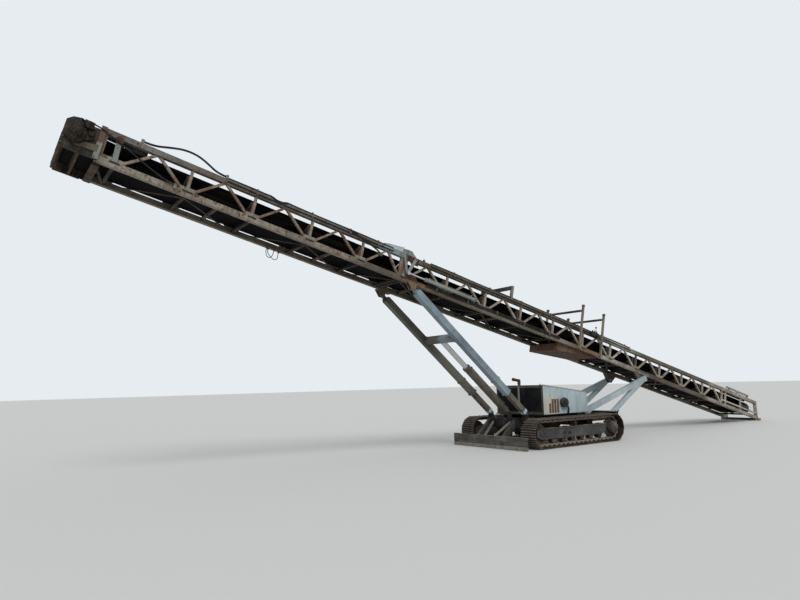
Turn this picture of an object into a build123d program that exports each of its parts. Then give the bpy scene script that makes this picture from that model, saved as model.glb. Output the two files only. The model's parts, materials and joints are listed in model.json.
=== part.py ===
from build123d import *
import os
from math import atan2, cos, degrees, hypot, pi, radians, sin, tan

os.makedirs("parts", exist_ok=True)

# Tracked stacking conveyor, full size, in millimetres.
# +X points to the discharge head, +Y to the machine's left, +Z up. The origin is on the
# ground, on the centreline, half way between the tail end and the head end.
#
# The boom is drawn in its own frame and then tilted: u runs along it towards the head,
# y across, w square to it, and the frame's origin is the lift pivot above the rear struts.

# Boom, driving sizes
BOOM_ANGLE = 13.75          # tilt as parked, tail on the ground
PIVOT_Z = 1540.0            # lift pivot above the ground
PITCH = 1220.0              # one bay of the lattice
DEPTH = 508.0               # between the chords' centres
WIDTH = 1145.0              # over the chords
CHORD = 100.0               # square tube of the chords
WEB = 45.0                  # square tube of the diagonals
POST = 50.0                 # upright tubes at the bottom nodes
CHORD_W = 219.0             # bottom chord's centre above the pivot
NODE_U = 280.0              # bottom node nearest to the pivot
BAYS_UP = 7                 # bays from that node towards the fold
BAYS_DOWN = 4               # bays from that node towards the tail
SPLIT_U = NODE_U + BAYS_UP * PITCH + 38.0
SPLIT_GAP = 16.0            # between the end frames of the two sections
HEAD_FIRST = 1067.0         # fold to the head section's first bottom node
HEAD_BAYS = 4               # bays between the head section's bottom nodes
HEAD_OVERHANG = 295.0       # last bottom node to the head end frame
TAIL_LIFT = 30.5            # bottom chord's underside above the ground at the tail's end
TAIL_POSTS = (-4842.0, -5852.0)
END_POST = 90.0            # square tube of the end frames
TAIL_RAIL = (150.0, 50.0)   # lower rail at the tail: above the bottom chord's centre, depth
GUSSET = (86.0, 70.0)       # diagonal's foot from its node, height of the node plates
ANGLE = 60.0                # cross beams between the bottom chords
LACE = (50.0, 8.0)          # flats in zigzag under the cross beams

# Belt and rollers
BELT_W = 900.0
BELT_T = 12.0
TROUGH = 30.0               # tilt of the wing rollers
FLAT_W = 320.0              # belt carried by the middle roller
CARRY_W = CHORD_W + 254.0   # underside of the belt in the trough
RETURN_W = CHORD_W + 60.0   # underside of the return belt
ROLLER_R = 50.0
RETURN_R = 38.0
DRUM_HEAD_R = 170.0
DRUM_TAIL_R = 150.0
DRUM_LEN = 930.0
SHAFT_R = 35.0
TRANSITION = 600.0          # trough to flat in front of a drum
LEVEL_RUN = 60.0            # flat belt before the drum's top
TAIL_DRUM_U = -6432.0
DRUM_AHEAD = 366.0          # head end frame to the head drum
LACES_AHEAD = 232.0         # tail drum to the first cross beam
ROLLER_SIDES = 8
DRUM_SIDES = 24
BELT_GAP = 8.0              # belt end to the fold plane

# Fold of the head section
HINGE_BACK = 115.0          # hinge behind the fold plane
HINGE_RISE = 125.0          # hinge above the top chord's centre
HINGE_PIN = 25.0
ARM = (56.0, 690.0)         # width of the hinge arm, length in front of the fold plane
ARM_CLEAR = 12.0            # under the arm, over the lower section's chord
EAR_T = 12.0
EAR_GAP = 5.0
FOLD_STOP = 176.5           # degrees that the head section folds back

# Fold linkage, placed from the hinge: lever and link outside each side of the boom
LEVER_BACK = 150.0
LEVER = 410.0
LEVER_LEAN = -24.0           # degrees behind square to the boom
LINK_AHEAD = 163.0
LINK_DROP = 80.0
LINK_T = 14.0
LINK_W = 70.0
LINK_PIN = 18.0
SIDE_STEP = 18.0            # from one layer of the linkage to the next
RAM_FOOT_U = 6796.0
RAM_FOOT_RISE = 125.0       # above the bottom chord's centre
FOLD_RAM_R = 38.0
FOLD_ROD_R = 20.0
FOLD_BARREL = 1500.0

# Tracks and chassis; x is measured from the middle of the tracks
TRACK_BEHIND = 3720.0       # tracks' middle ahead of the lift pivot
TRACK_L = 3410.0
TRACK_H = 700.0
SHOE_W = 450.0
MACHINE_W = 2550.0
SHOES = 45
GROUSER = 25.0
ARC_STEPS = 12              # flats of the chain round each end
SHOE_T = 14.0
CHAIN_H = 70.0
CHAIN_W = 130.0
FIT = 0.3                   # gap between a wheel and the chain that runs on it
FRAME_Z = (215.0, 455.0)    # track frame's underside and top
FRAME_X = (-1080.0, 1330.0)
LOWER_ROLLERS = 6
RAIL_Y = 430.0              # chassis rails' centre
RAIL = (130.0, 220.0)       # rail width and depth
RAIL_TOP = 690.0
CHASSIS_X = (-2420.0, 1480.0)
DECK_T = 12.0
DECK_Z = 758.0
CROSS_X = (-760.0, 640.0)   # cross tubes that carry the track frames
TEETH = 17                  # of the sprockets
PLATE = (1955.0, 2546.0, 290.0, 12.0)  # face, width, height, thickness of the front plate
PLATE_LIFT = 8.0

# Power pack
PACK_X = (-860.0, 820.0)
PACK_W = 1600.0
PACK_FRONT_Z = 1480.0
PACK_REAR_Z = 1262.0
SKIN = 8.0
DOOR_X = (-620.0, 560.0)
DOOR_GAP = 6.0
KNUCKLE_R = 9.0
KNUCKLE_L = 40.0

# Lashing eyes at the rear of the chassis rails
EYE_R = 28.0
EYE = (110.0, 30.0)         # reach, thickness

# Masts
MAST_FOOT = (1250.0, 800.0)       # x from the tracks' middle, z
MAST_HEAD = (8560.0, 85.0)        # u, w of the pin under the boom
MAST_Y = 600.0
SLEEVE = 150.0
SLEEVE_WALL = 10.0
LEG = 120.0
LEG_SHOWN = 780.0                 # foot pin to the sleeve's lower end
MAST_PIN = 30.0
MAST_CAP = 150.0  # from the upper pin down to the outer tube's closed end
LIFT_STOP = 12.0                  # degrees that the boom is lowered
RAM_R = 90.0
RAM_ROD_R = 62.0
RAM_BARREL = 1750.0
RAM_CROSS = 2700.0                # foot pin to the cross member

# Cross beam on the ground under the tail
SKID = (120.0, 1340.0, 80.0)      # along, across, high

# Tray under the lower section, over the power pack
PAN_U = (2020.0, 3640.0)
PAN_DROP = (24.0, 200.0)          # below the chords at its two ends
PAN_T = 8.0

# Rear struts
STRUT_FEET = (-860.0, -2256.0)
STRUT_Y = 690.0
STRUT = (150.0, 125.0, 90.0)   # depth of the long and the short one, width
STRUT_PAST = 150.0             # long strut's end beyond the pivot
STRUT_FRONT = -905.0           # its foot ends behind the power pack
STRUT_PIN = 32.0

# The folded head section rests on hoops. Each: u, posts down to the bottom chord, own height over
# the top chord or None for the height at which the folded chords come to rest
HOOPS = ((5558.0, False, None), (2923.0, True, None), (2023.0, True, 540.0))
HOOP_TUBE = 60.0
HOOP_HORN = 110.0               # deep hoops' posts above their cross bar
HOOP_OUT = 22.0                 # their posts outside the chord
HOOP_CLEAR = 12.0

# Worked out from the sizes above
TILT = radians(BOOM_ANGLE)
TOP_W = CHORD_W + DEPTH
TAIL_REACH = (PIVOT_Z + (CHORD_W - CHORD / 2) / cos(TILT) - TAIL_LIFT) / tan(TILT)
HEAD_NODE = SPLIT_U + HEAD_FIRST
HEAD_END = HEAD_NODE + HEAD_BAYS * PITCH + HEAD_OVERHANG
HEAD_DRUM_U = HEAD_END + DRUM_AHEAD
HINGE_W = TOP_W + HINGE_RISE
HINGE_U = SPLIT_U - HINGE_BACK
CHORD_Y = (WIDTH - CHORD) / 2
TAIL_RAIL_Y = CHORD_Y - WEB / 2
INNER_Y = CHORD_Y - CHORD / 2
DRUM_HEAD_W = RETURN_W + BELT_T + FIT + DRUM_HEAD_R
DRUM_TAIL_W = RETURN_W + BELT_T + FIT + DRUM_TAIL_R
HEAD_REACH = HEAD_DRUM_U * cos(TILT) - DRUM_HEAD_W * sin(TILT) + DRUM_HEAD_R + BELT_T
PIVOT_X = (TAIL_REACH - HEAD_REACH) / 2
TRACK_X = PIVOT_X + TRACK_BEHIND
TAIL_U = -TAIL_REACH / cos(TILT)
MAIN_NODES = [NODE_U + k * PITCH for k in range(-BAYS_DOWN, BAYS_UP + 1)]
HEAD_NODES = [HEAD_NODE + k * PITCH for k in range(HEAD_BAYS + 1)]
TRACK_Y = (MACHINE_W - SHOE_W) / 2
CROSS_Y = TRACK_Y - 130
WHEEL_R = TRACK_H / 2 - GROUSER - SHOE_T - CHAIN_H - FIT
AXLE_X = (TRACK_L - TRACK_H) / 2
BOOM_AT = Pos(PIVOT_X, 0, PIVOT_Z) * Rot(0, -BOOM_ANGLE, 0)

# free hoses and cables of the head section: routes as u, w
ARCH = [(14475.0, 812.0), (14310.0, 812.0), (14080.0, 897.0), (13830.0, 976.0), (13580.0, 977.0),
        (13360.0, 898.0), (13180.0, 812.0), (13015.0, 812.0)]
ARCH_CLAMPS = (14500.0, 12990.0)
ARCH_Y = 553.0
ARCH_R = 19.0
HEAD_HOSE = [(15300.0, 733.0), (15175.0, 733.0), (14950.0, 655.0), (14640.0, 535.0), (14330.0, 402.0),
             (14160.0, 345.0), (13960.0, 276.0), (13840.0, 276.0)]
HEAD_HOSE_Y = 606.0
HEAD_HOSE_R = 12.5
LOOP_UPPER = [(11578.0, 139.0), (11578.0, 80.0), (11545.0, 2.0), (11507.0, -29.0), (11460.0, -26.0),
              (11428.0, 12.0), (11409.0, 79.0), (11409.0, 139.0)]
LOOP_LOWER = [(11528.0, 139.0), (11528.0, 100.0), (11500.0, 58.0), (11445.0, 14.0), (11385.0, -18.0),
              (11334.0, -24.0), (11296.0, 2.0), (11280.0, 48.0), (11291.0, 94.0), (11291.0, 139.0)]
LOOP_R = 7.0
MANIFOLD = (15300.0, 15400.0, 655.0, 745.0)  # u and w of the block that the head hose leaves


def boom_to_world(u, w):
    """World x and z of a point of the boom's frame."""
    return (PIVOT_X + u * cos(TILT) - w * sin(TILT), PIVOT_Z + u * sin(TILT) + w * cos(TILT))


def block(x, y, z):
    """A box from three (low, high) pairs."""
    size = [b - a for a, b in (x, y, z)]
    return Pos(*[(a + b) / 2 for a, b in (x, y, z)]) * Box(*size)


def plate(points, y0, y1):
    """An outline in x and z, extruded from y0 to y1."""
    face = make_face(Polyline(*[(x, y0, z) for x, z in points], close=True))
    return extrude(face, amount=y1 - y0, dir=(0, 1, 0))


def bar(start, end, depth, y0, y1):
    """A straight rectangular bar between two points in x and z."""
    dx, dz = end[0] - start[0], end[1] - start[1]
    length = hypot(dx, dz)
    nx, nz = -dz / length * depth / 2, dx / length * depth / 2
    return plate([(start[0] + nx, start[1] + nz), (end[0] + nx, end[1] + nz),
                  (end[0] - nx, end[1] - nz), (start[0] - nx, start[1] - nz)], y0, y1)


def along(start, end, distance):
    """The point that lies a distance from start towards end."""
    dx, dz = end[0] - start[0], end[1] - start[1]
    length = hypot(dx, dz)
    return (start[0] + dx / length * distance, start[1] + dz / length * distance)


def rod(start, end, radius):
    """A round bar between two points in space."""
    a, b = Vector(*start), Vector(*end)
    return Solid.make_cylinder(radius, (b - a).length, Plane(a, z_dir=b - a))


def cross_pin(x, z, radius, y0, y1):
    """A round bar along y."""
    return rod((x, y0, z), (x, y1, z), radius)


def prism(start, end, radius, sides, around=False):
    """A bar with flat sides between two points; around keeps the flats outside the radius."""
    a, b = Vector(*start), Vector(*end)
    reach = radius / cos(pi / sides) if around else radius
    length = (b - a).length
    face = make_face(Polyline(*[(reach * cos(pi * (2 * k + 1) / sides), reach * sin(pi * (2 * k + 1) / sides))
                                for k in range(sides)], close=True))
    side = Vector(0, 0, 1).cross(b - a)
    place = Plane(a, x_dir=side if side.length > 1e-6 else Vector(1, 0, 0), z_dir=b - a)
    return place * extrude(face, amount=length)


def cross_prism(x, z, radius, y0, y1, sides, around=False):
    """A bar with flat sides along y."""
    return prism((x, y0, z), (x, y1, z), radius, sides, around)


def strap(start, end, width, y0, y1, bore=0.0):
    """A flat link with chamfered round ends, bored at both."""
    dx, dz = end[0] - start[0], end[1] - start[1]
    length = hypot(dx, dz)
    ux, uz = dx / length, dz / length
    outline = []
    for (x, z), way in ((end, 1), (start, -1)):
        for turn in (-90, -54, -18, 18, 54, 90):
            t = radians(turn)
            a, b = way * cos(t), way * sin(t)
            outline.append((x + width / 2 * (a * ux - b * uz), z + width / 2 * (a * uz + b * ux)))
    shape = plate(outline, y0, y1)
    if bore:
        for x, z in (start, end):
            shape -= cross_prism(x, z, bore, y0 - 1, y1 + 1, 14, around=True)
    return shape


def both_sides(shape):
    """A left-hand piece and its mirror image."""
    return [shape, mirror(shape, about=Plane.XZ)]


def solids(*pieces):
    """Pieces of one node, gathered without being fused."""
    found = []
    for piece in pieces:
        for item in (piece if isinstance(piece, (list, tuple)) else [piece]):
            found += item.solids()
    return Compound(children=found)


def on_boom(shape):
    """Moves a piece drawn in the boom's frame to its place."""
    return BOOM_AT * shape


def arc(x, z, radius, first, last, count):
    """Points round a centre, angles in degrees from x towards z."""
    turns = [radians(first + (last - first) * k / count) for k in range(count + 1)]
    return [(x + radius * cos(t), z + radius * sin(t)) for t in turns]


# Lattice

def truss_side(nodes, start, end, start_post, end_post, first=True, brace=None):
    """One side of the lattice on the left: two chords and the web between them.

    The web is one profile: a band from which the triangles between diagonals, uprights and
    node plates are cut. start_post and end_post say whether the ends have a frame tube.
    """
    y0, y1 = CHORD_Y - CHORD / 2, CHORD_Y + CHORD / 2
    w0, w1 = CHORD_Y - WEB / 2, CHORD_Y + WEB / 2
    low, high = CHORD_W + CHORD / 2, TOP_W - CHORD / 2
    side = block((start, end), (y0, y1), (CHORD_W - CHORD / 2, low))
    side += block((start, end), (y0, y1), (high, TOP_W + CHORD / 2))
    foot, height = GUSSET
    span = PITCH / 2 - 30 - foot
    across = WEB / 2 * hypot(high - low, span) / (high - low)
    near, far = foot + height / (high - low) * span - across, foot + span - across
    begin = start + END_POST if start_post else start
    stop = end - END_POST if end_post else end
    windows = []
    for k, u in enumerate(nodes):
        for way in (-1, 1):
            reach = u + way * PITCH / 2
            edge = min(max(u + way * POST / 2, begin), stop)
            if begin < reach < stop and (first or k or way > 0):
                windows.append([(edge, low + height), (u + way * near, low + height), (u + way * far, high),
                                (edge, high)])
    apex = low + (PITCH / 2 - foot - across) / span * (high - low)
    for u in nodes[:-1]:
        windows.append([(u + foot + across, low), (u + PITCH - foot - across, low), (u + PITCH / 2, apex)])
    if brace:
        top, toe = nodes[0] - PITCH / 2, brace
        lean = (top - 30 - toe) / (high - low)
        wide = WEB / 2 * hypot(high - low, top - 30 - toe) / (high - low)
        rise = max(begin - toe + wide, 0) / lean + 5
        windows.append([(begin, low + rise), (begin, high), (top - 30 - wide, high),
                        (toe - wide + lean * (rise + 1), low + rise)])
        cross = low + (nodes[0] - foot - across - toe - wide) / (lean + span / (high - low))
        windows.append([(toe + wide, low), (nodes[0] - foot - across, low),
                        (toe + wide + lean * (cross - low), cross)])
    if end_post and stop - nodes[-1] > POST:
        windows.append([(nodes[-1] + POST / 2, low + height), (stop, low + height), (stop, high),
                        (nodes[-1] + POST / 2, high)])
    if not first:
        stations = [nodes[0]] + list(TAIL_POSTS) + [start]
        rail = CHORD_W + TAIL_RAIL[0]
        for a, b in zip(stations, stations[1:]):
            for bottom, top in ((low, rail - TAIL_RAIL[1] / 2), (rail + TAIL_RAIL[1] / 2, high)):
                windows.append([(b + POST / 2 * (b != start), bottom), (a - POST / 2, bottom), (a - POST / 2, top),
                                (b + POST / 2 * (b != start), top)])
    web = block((start, end), (w0, w1), (low, high))
    for window in windows:
        web -= plate(window, w0 - 1, w1 + 1)
    side += web
    return side


def ladder(nodes, start, end):
    """Cross beams between the bottom chords with a zigzag of flats, as one weldment."""
    z0 = CHORD_W - CHORD / 2
    z1 = z0 + ANGLE * 0.75
    stations = [start] + list(nodes) + [end]
    shape = None
    for u in stations:
        beam = block((u - ANGLE / 2, u + ANGLE / 2), (-INNER_Y, INNER_Y), (z0, z1))
        shape = beam if shape is None else shape + beam
    for k in range(len(stations) - 1):
        u0, u1 = stations[k], stations[k + 1]
        way = 1 if k % 2 else -1
        reach = INNER_Y - 40
        angle = degrees(atan2(2 * reach * way, u1 - u0))
        lace = Box(hypot(u1 - u0, 2 * reach), *LACE)
        shape += Pos((u0 + u1) / 2, 0, z0 - LACE[1] / 2) * Rot(0, 0, angle) * lace
    return shape


def carrying_idler(u):
    """A troughed set: a frame cut from one profile, and three rollers between its fingers."""
    half = FLAT_W / 2
    centre = CARRY_W - ROLLER_R - FIT
    tilt = radians(TROUGH)
    base = CHORD_W + CHORD / 2 + 45
    sets = []
    for side in (-1, 1):
        ends = []
        for t in (10, (BELT_W - FLAT_W) / 2 - 5):
            ends.append((u, side * (half + t * cos(tilt) + (ROLLER_R + FIT) * sin(tilt)),
                         CARRY_W + t * sin(tilt) - (ROLLER_R + FIT) * cos(tilt)))
        sets.append(ends)
    outer, top = sets[1][1][1], sets[1][1][2]
    right = [(4, base + 40), (half - 4, base + 40), (half - 4, centre + 12), (half + 6, centre + 12),
             (half + 6, base + 40), (outer - 2, base + 40), (outer - 2, top + 12), (outer + 7, top + 12),
             (outer + 7, base + 40), (INNER_Y + 24, base + 40), (INNER_Y + 24, base - 45),
             (INNER_Y, base - 45), (INNER_Y, base)]
    outline = [(-y, w) for y, w in reversed(right)] + right
    face = make_face(Polyline(*[(u - 20, y, w) for y, w in outline], close=True))
    shape = extrude(face, amount=40, dir=(1, 0, 0))
    shape += prism((u, -half + 3, centre), (u, half - 3, centre), ROLLER_R, ROLLER_SIDES, around=True)
    for ends in sets:
        shape += prism(*ends, ROLLER_R, ROLLER_SIDES, around=True)
    return shape


def trough_face(u, rise):
    """The belt's cross-section; rise is the wings' height over the middle."""
    half, edge = FLAT_W / 2, BELT_W / 2
    wing = edge - half
    reach = half + (wing ** 2 - rise ** 2) ** 0.5
    lift = CARRY_W + wing * sin(radians(TROUGH)) - rise
    pts = [(-reach, lift + rise), (-half, lift), (half, lift), (reach, lift + rise)]
    pts += [(y, w + BELT_T) for y, w in reversed(pts)]
    return make_face(Polyline(*[(u, y, w) for y, w in pts], close=True))


def belt_run(open_u, drum_u, drum_w, drum_r):
    """One section's belt: trough, change to flat, wrap on the drum and return."""
    way = 1 if drum_u > open_u else -1
    rise = (BELT_W - FLAT_W) / 2 * sin(radians(TROUGH))
    top = drum_w + drum_r + FIT
    change = drum_u - way * TRANSITION
    shape = extrude(trough_face(open_u, rise), amount=abs(change - open_u), dir=(way, 0, 0))
    half = BELT_W / 2
    level = drum_u - way * LEVEL_RUN
    shape += transition(change, level, rise, top)
    shape += block(sorted((level, drum_u)), (-half, half), (top, top + BELT_T))
    swell = 1 / cos(pi / DRUM_SIDES)
    turn = (90, -90) if way > 0 else (90, 270)
    wrap = arc(drum_u, drum_w, (drum_r + BELT_T) * swell, *turn, DRUM_SIDES // 2)
    wrap += reversed(arc(drum_u, drum_w, (drum_r + FIT) * swell, *turn, DRUM_SIDES // 2))
    shape += plate(wrap, -half, half)
    shape += block(sorted((open_u, drum_u)), (-half, half), (RETURN_W, RETURN_W + BELT_T))
    return shape


def transition(change, level, rise, top):
    """Change from the trough to the flat belt: a plain middle and two planes in each wing."""
    half, edge = FLAT_W / 2, BELT_W / 2
    wing = edge - half
    reach = half + (wing ** 2 - rise ** 2) ** 0.5
    lift = CARRY_W + wing * sin(radians(TROUGH)) - rise
    corners = [[(change, -half, lift), (change, half, lift), (level, half, top), (level, -half, top)]]
    for side in (-1, 1):
        bend, lip = (change, side * half, lift), (change, side * reach, lift + rise)
        corners.append([bend, lip, (level, side * half, top)])
        corners.append([lip, (level, side * edge, top), (level, side * half, top)])
    shape = None
    for outline in corners:
        plank = extrude(make_face(Polyline(*outline, close=True)), amount=BELT_T, dir=(0, 0, 1))
        shape = plank if shape is None else shape + plank
    return shape


def drum(u, w, radius, shaft_half):
    """A belt drum on its shaft."""
    half = DRUM_LEN / 2
    shape = cross_prism(u, w, radius, -half, half, DRUM_SIDES)
    return shape + cross_prism(u, w, SHAFT_R, -shaft_half, shaft_half, 12)


# Nodes of the main section

def truss_main():
    """Left side of the main section with its pivot, mast and linkage lugs."""
    start = TAIL_U - 300
    end = SPLIT_U - SPLIT_GAP / 2
    side = truss_side(MAIN_NODES, start, end, False, True, first=False)
    # the tail is cut upright and closed by an end post
    side = on_boom(side)
    tail_x = PIVOT_X - TAIL_REACH
    side -= block((tail_x - TAIL_REACH, tail_x), (0, WIDTH), (-PIVOT_Z, 2 * PIVOT_Z))
    low = PIVOT_Z - TAIL_REACH * tan(TILT) + CHORD_W / cos(TILT)
    high = low + DEPTH / cos(TILT)
    y0, y1 = CHORD_Y - CHORD / 2, CHORD_Y + CHORD / 2
    side += block((tail_x, tail_x + 70), (y0, y1), (low - 20, high + 20))
    # rail above the top chord at the tail
    rail_u = (TAIL_POSTS[0] - 80, TAIL_DRUM_U + 60)
    rail = block(sorted(rail_u), (CHORD_Y - 25, CHORD_Y + 25), (TOP_W + 115, TOP_W + 165))
    for u in (rail_u[0] - 160, sum(rail_u) / 2, rail_u[1] + 60):
        rail += block((u - 25, u + 25), (CHORD_Y - 20, CHORD_Y + 20), (TOP_W + CHORD / 2 - 1, TOP_W + 120))
    side += on_boom(rail)
    # hinge ears on the top chord, on both sides of the head section's arm
    base = TOP_W + CHORD / 2 - 2
    ears = None
    for way in (-1, 1):
        inner = CHORD_Y + way * (ARM[0] / 2 + EAR_GAP)
        ear = plate([(HINGE_U - 190, base), (HINGE_U + 60, base), (HINGE_U + 45, HINGE_W + 10),
                     (HINGE_U + 15, HINGE_W + 42), (HINGE_U - 30, HINGE_W + 42)],
                    *sorted((inner, inner + way * EAR_T)))
        ears = ear if ears is None else ears + ear
    ears += cross_pin(HINGE_U, HINGE_W, HINGE_PIN, CHORD_Y - ARM[0] / 2 - EAR_GAP - EAR_T,
                      CHORD_Y + ARM[0] / 2 + EAR_GAP + EAR_T)
    side += on_boom(ears)
    # lift pivot plates, hanging from the bottom chord
    under = CHORD_W - CHORD / 2 + 4
    for y_in, y_out in ((CHORD_Y - 30, CHORD_Y - 6), (CHORD_Y + 12, CHORD_Y + 36)):
        lug = plate([(-260, under), (320, under), (70, -60), (-70, -60)], y_in, y_out)
        side += on_boom(lug - cross_prism(0, 0, STRUT_PIN, y_in - 1, y_out + 1, 12, around=True))
    # mast lugs: two plates whose stub pins reach towards the mast's eye
    mu, mw = MAST_HEAD
    for way in (-1, 1):
        y_in, y_out = sorted((MAST_Y + way * 44, MAST_Y + way * 62))
        stub = MAST_Y + way * 16
        tab = plate([(mu - 60, under), (mu + 190, under), (mu + 50, mw - 50), (mu - 40, mw - 50)],
                    y_in, y_out)
        tab += cross_prism(mu, mw, MAST_PIN, *sorted(((y_in + y_out) / 2, stub)), 12)
        side += on_boom(tab)
    side += on_boom(block((mu - 190, mu + 190), (CHORD_Y, MAST_Y + 62), (under - 14, under)))
    return side


def linkage():
    """Points of the fold linkage in the boom's frame."""
    lever_at = (HINGE_U - LEVER_BACK, TOP_W)
    lean = radians(270 - LEVER_LEAN)
    knee = (lever_at[0] + LEVER * cos(lean), lever_at[1] + LEVER * sin(lean))
    link_at = (HINGE_U + LINK_AHEAD, HINGE_W - LINK_DROP)
    foot = (RAM_FOOT_U, CHORD_W + RAM_FOOT_RISE)
    return lever_at, knee, link_at, foot


def build():
    """All nodes, as a table of name and shape."""
    nodes = {}
    build_main(nodes)
    build_head(nodes)
    build_cords(nodes)
    build_linkage(nodes)
    build_masts(nodes)
    build_struts(nodes)
    build_chassis(nodes)
    build_tracks(nodes)
    build_pack(nodes)
    return nodes


def build_main(nodes):
    """The lower section of the boom."""
    lever_at, _, _, foot = linkage()
    face = WIDTH / 2
    left = truss_main()
    left += on_boom(cross_pin(*lever_at, LINK_PIN, face - 20, face + SIDE_STEP * 2))
    ram_lug = block((foot[0] - 60, foot[0] + 60), (face - 4, face + 12), (CHORD_W - 40, foot[1] + 40))
    ram_lug += cross_pin(*foot, LINK_PIN, face - 4, face + SIDE_STEP * 2 + 64)
    left += on_boom(ram_lug)
    nodes["truss_main_left"], nodes["truss_main_right"] = both_sides(left - skid_block())
    laced = (TAIL_DRUM_U + LACES_AHEAD, SPLIT_U - SPLIT_GAP / 2 - 45)
    nodes["laces_main"] = on_boom(ladder(MAIN_NODES[:-1], *laced))
    nodes["idlers_main"] = solids([on_boom(carrying_idler(u)) for u in MAIN_NODES[:-1]])
    returns = [u + PITCH / 2 for u in MAIN_NODES[:-1:2]]
    nodes["return_rollers_main"] = solids([on_boom(return_roller(u)) for u in returns])
    nodes["belt_main"] = on_boom(belt_run(SPLIT_U - BELT_GAP, TAIL_DRUM_U, DRUM_TAIL_W, DRUM_TAIL_R))
    tail = drum(TAIL_DRUM_U, DRUM_TAIL_W, DRUM_TAIL_R, TAIL_RAIL_Y - FIT)
    for bearing in both_sides(block((TAIL_DRUM_U - 80, TAIL_DRUM_U + 80), (TAIL_RAIL_Y - 24, TAIL_RAIL_Y - FIT),
                                    (DRUM_TAIL_W - 95, DRUM_TAIL_W + 60))):
        tail += bearing
    nodes["tail_drum"] = on_boom(tail)
    nodes["tail_skid"] = skid_block()
    nodes["rest_hoops"] = solids([on_boom(hoop(u, deep, rise)) for u, deep, rise in HOOPS])
    nodes["belly_pan"] = on_boom(belly_pan())


def build_head(nodes):
    """The folding head section of the boom."""
    link_at = linkage()[2]
    face = WIDTH / 2
    start = SPLIT_U + SPLIT_GAP / 2
    side = truss_side(HEAD_NODES, start, HEAD_END, True, True, brace=SPLIT_U + 108)
    side += block((link_at[0] - 45, link_at[0] + 45), (face - 10, face + 0.5), (TOP_W - 20, link_at[1] + 45))
    width, length = ARM
    base = TOP_W + CHORD / 2 - 1
    under = base + 1 + ARM_CLEAR
    arm = plate([(start, base), (SPLIT_U + length, base), (SPLIT_U + length - 120, base + 60),
                 (HINGE_U + 60, HINGE_W + 46), (HINGE_U - 30, HINGE_W + 46), (HINGE_U - 46, HINGE_W + 10),
                 (HINGE_U - 46, HINGE_W - 40), (HINGE_U - 20, under), (start, under)],
                CHORD_Y - width / 2, CHORD_Y + width / 2)
    side += arm - cross_prism(HINGE_U, HINGE_W, HINGE_PIN + 0.5, 0, WIDTH, 12, around=True)
    nodes["truss_head_left"], nodes["truss_head_right"] = both_sides(on_boom(side))
    nodes["laces_head"] = on_boom(ladder(HEAD_NODES, start + 45, HEAD_END - 45))
    nodes["idlers_head"] = solids([on_boom(carrying_idler(u)) for u in HEAD_NODES])
    nodes["return_rollers_head"] = solids([on_boom(return_roller(u + PITCH / 2)) for u in HEAD_NODES[:-1:2]])
    nodes["belt_head"] = on_boom(belt_run(SPLIT_U + BELT_GAP, HEAD_DRUM_U, DRUM_HEAD_W, DRUM_HEAD_R))
    nodes["head_drum"] = on_boom(drum(HEAD_DRUM_U, DRUM_HEAD_W, DRUM_HEAD_R, face + 10))
    low, high, drum_u = CHORD_W, TOP_W, HEAD_DRUM_U
    cheek = plate([(HEAD_END - 30, low - 45), (drum_u + 120, low - 45), (drum_u + 180, low + 40),
                   (drum_u + 180, high - 70), (drum_u + 100, high + 10), (drum_u - 30, high + 40),
                   (drum_u - 150, high - 20), (HEAD_END - 30, high - 20)], face + FIT, face + 12)
    cheek -= cross_prism(drum_u, DRUM_HEAD_W, SHAFT_R + 20, 0, WIDTH, 12, around=True)
    housing = cross_prism(drum_u, DRUM_HEAD_W, 80, face - 44, face + 20, 12)
    housing -= cross_prism(drum_u, DRUM_HEAD_W, SHAFT_R, 0, WIDTH, 12, around=True)
    near, far = both_sides(cheek + housing)
    u0, u1, w0, w1 = MANIFOLD
    near += block((u0, u1), (face + 11, face + 75), (w0, w1))
    nodes["head_plates"] = solids([on_boom(near), on_boom(far)])
    motor = cross_prism(drum_u, DRUM_HEAD_W, 165, face + 20 + FIT, face + 42, 20)
    motor += cross_prism(drum_u, DRUM_HEAD_W, 150, face + 40, face + 170, 20)
    motor += cross_prism(drum_u, DRUM_HEAD_W, 80, face + 170, face + 330, 16)
    nodes["drive_motor"] = on_boom(motor)
    wide = block((HEAD_END - 110, HEAD_END + 10), (-INNER_Y, INNER_Y),
                 (CHORD_W - 100, CHORD_W - CHORD / 2 - LACE[1] - FIT))
    nodes["head_crossplate"] = on_boom(wide)


def cord(route, y, radius, sides):
    """A free hose in one plane of the boom: straight runs joined by the largest tangent arcs."""
    points = [Vector(u, y, w) for u, w in route]
    radii = []
    for a, b, c in zip(points, points[1:], points[2:]):
        turn = radians((b - a).get_angle(c - b))
        radii.append(0.45 * min((b - a).length, (c - b).length) / tan(turn / 2))
    print("cord radii", [round(r) for r in radii])
    path = FilletPolyline(*points, radius=radii)
    section = Plane(points[0], x_dir=(0, 1, 0), z_dir=points[1] - points[0]) * RegularPolygon(radius, sides)
    return on_boom(sweep(section, path=path))


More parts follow.
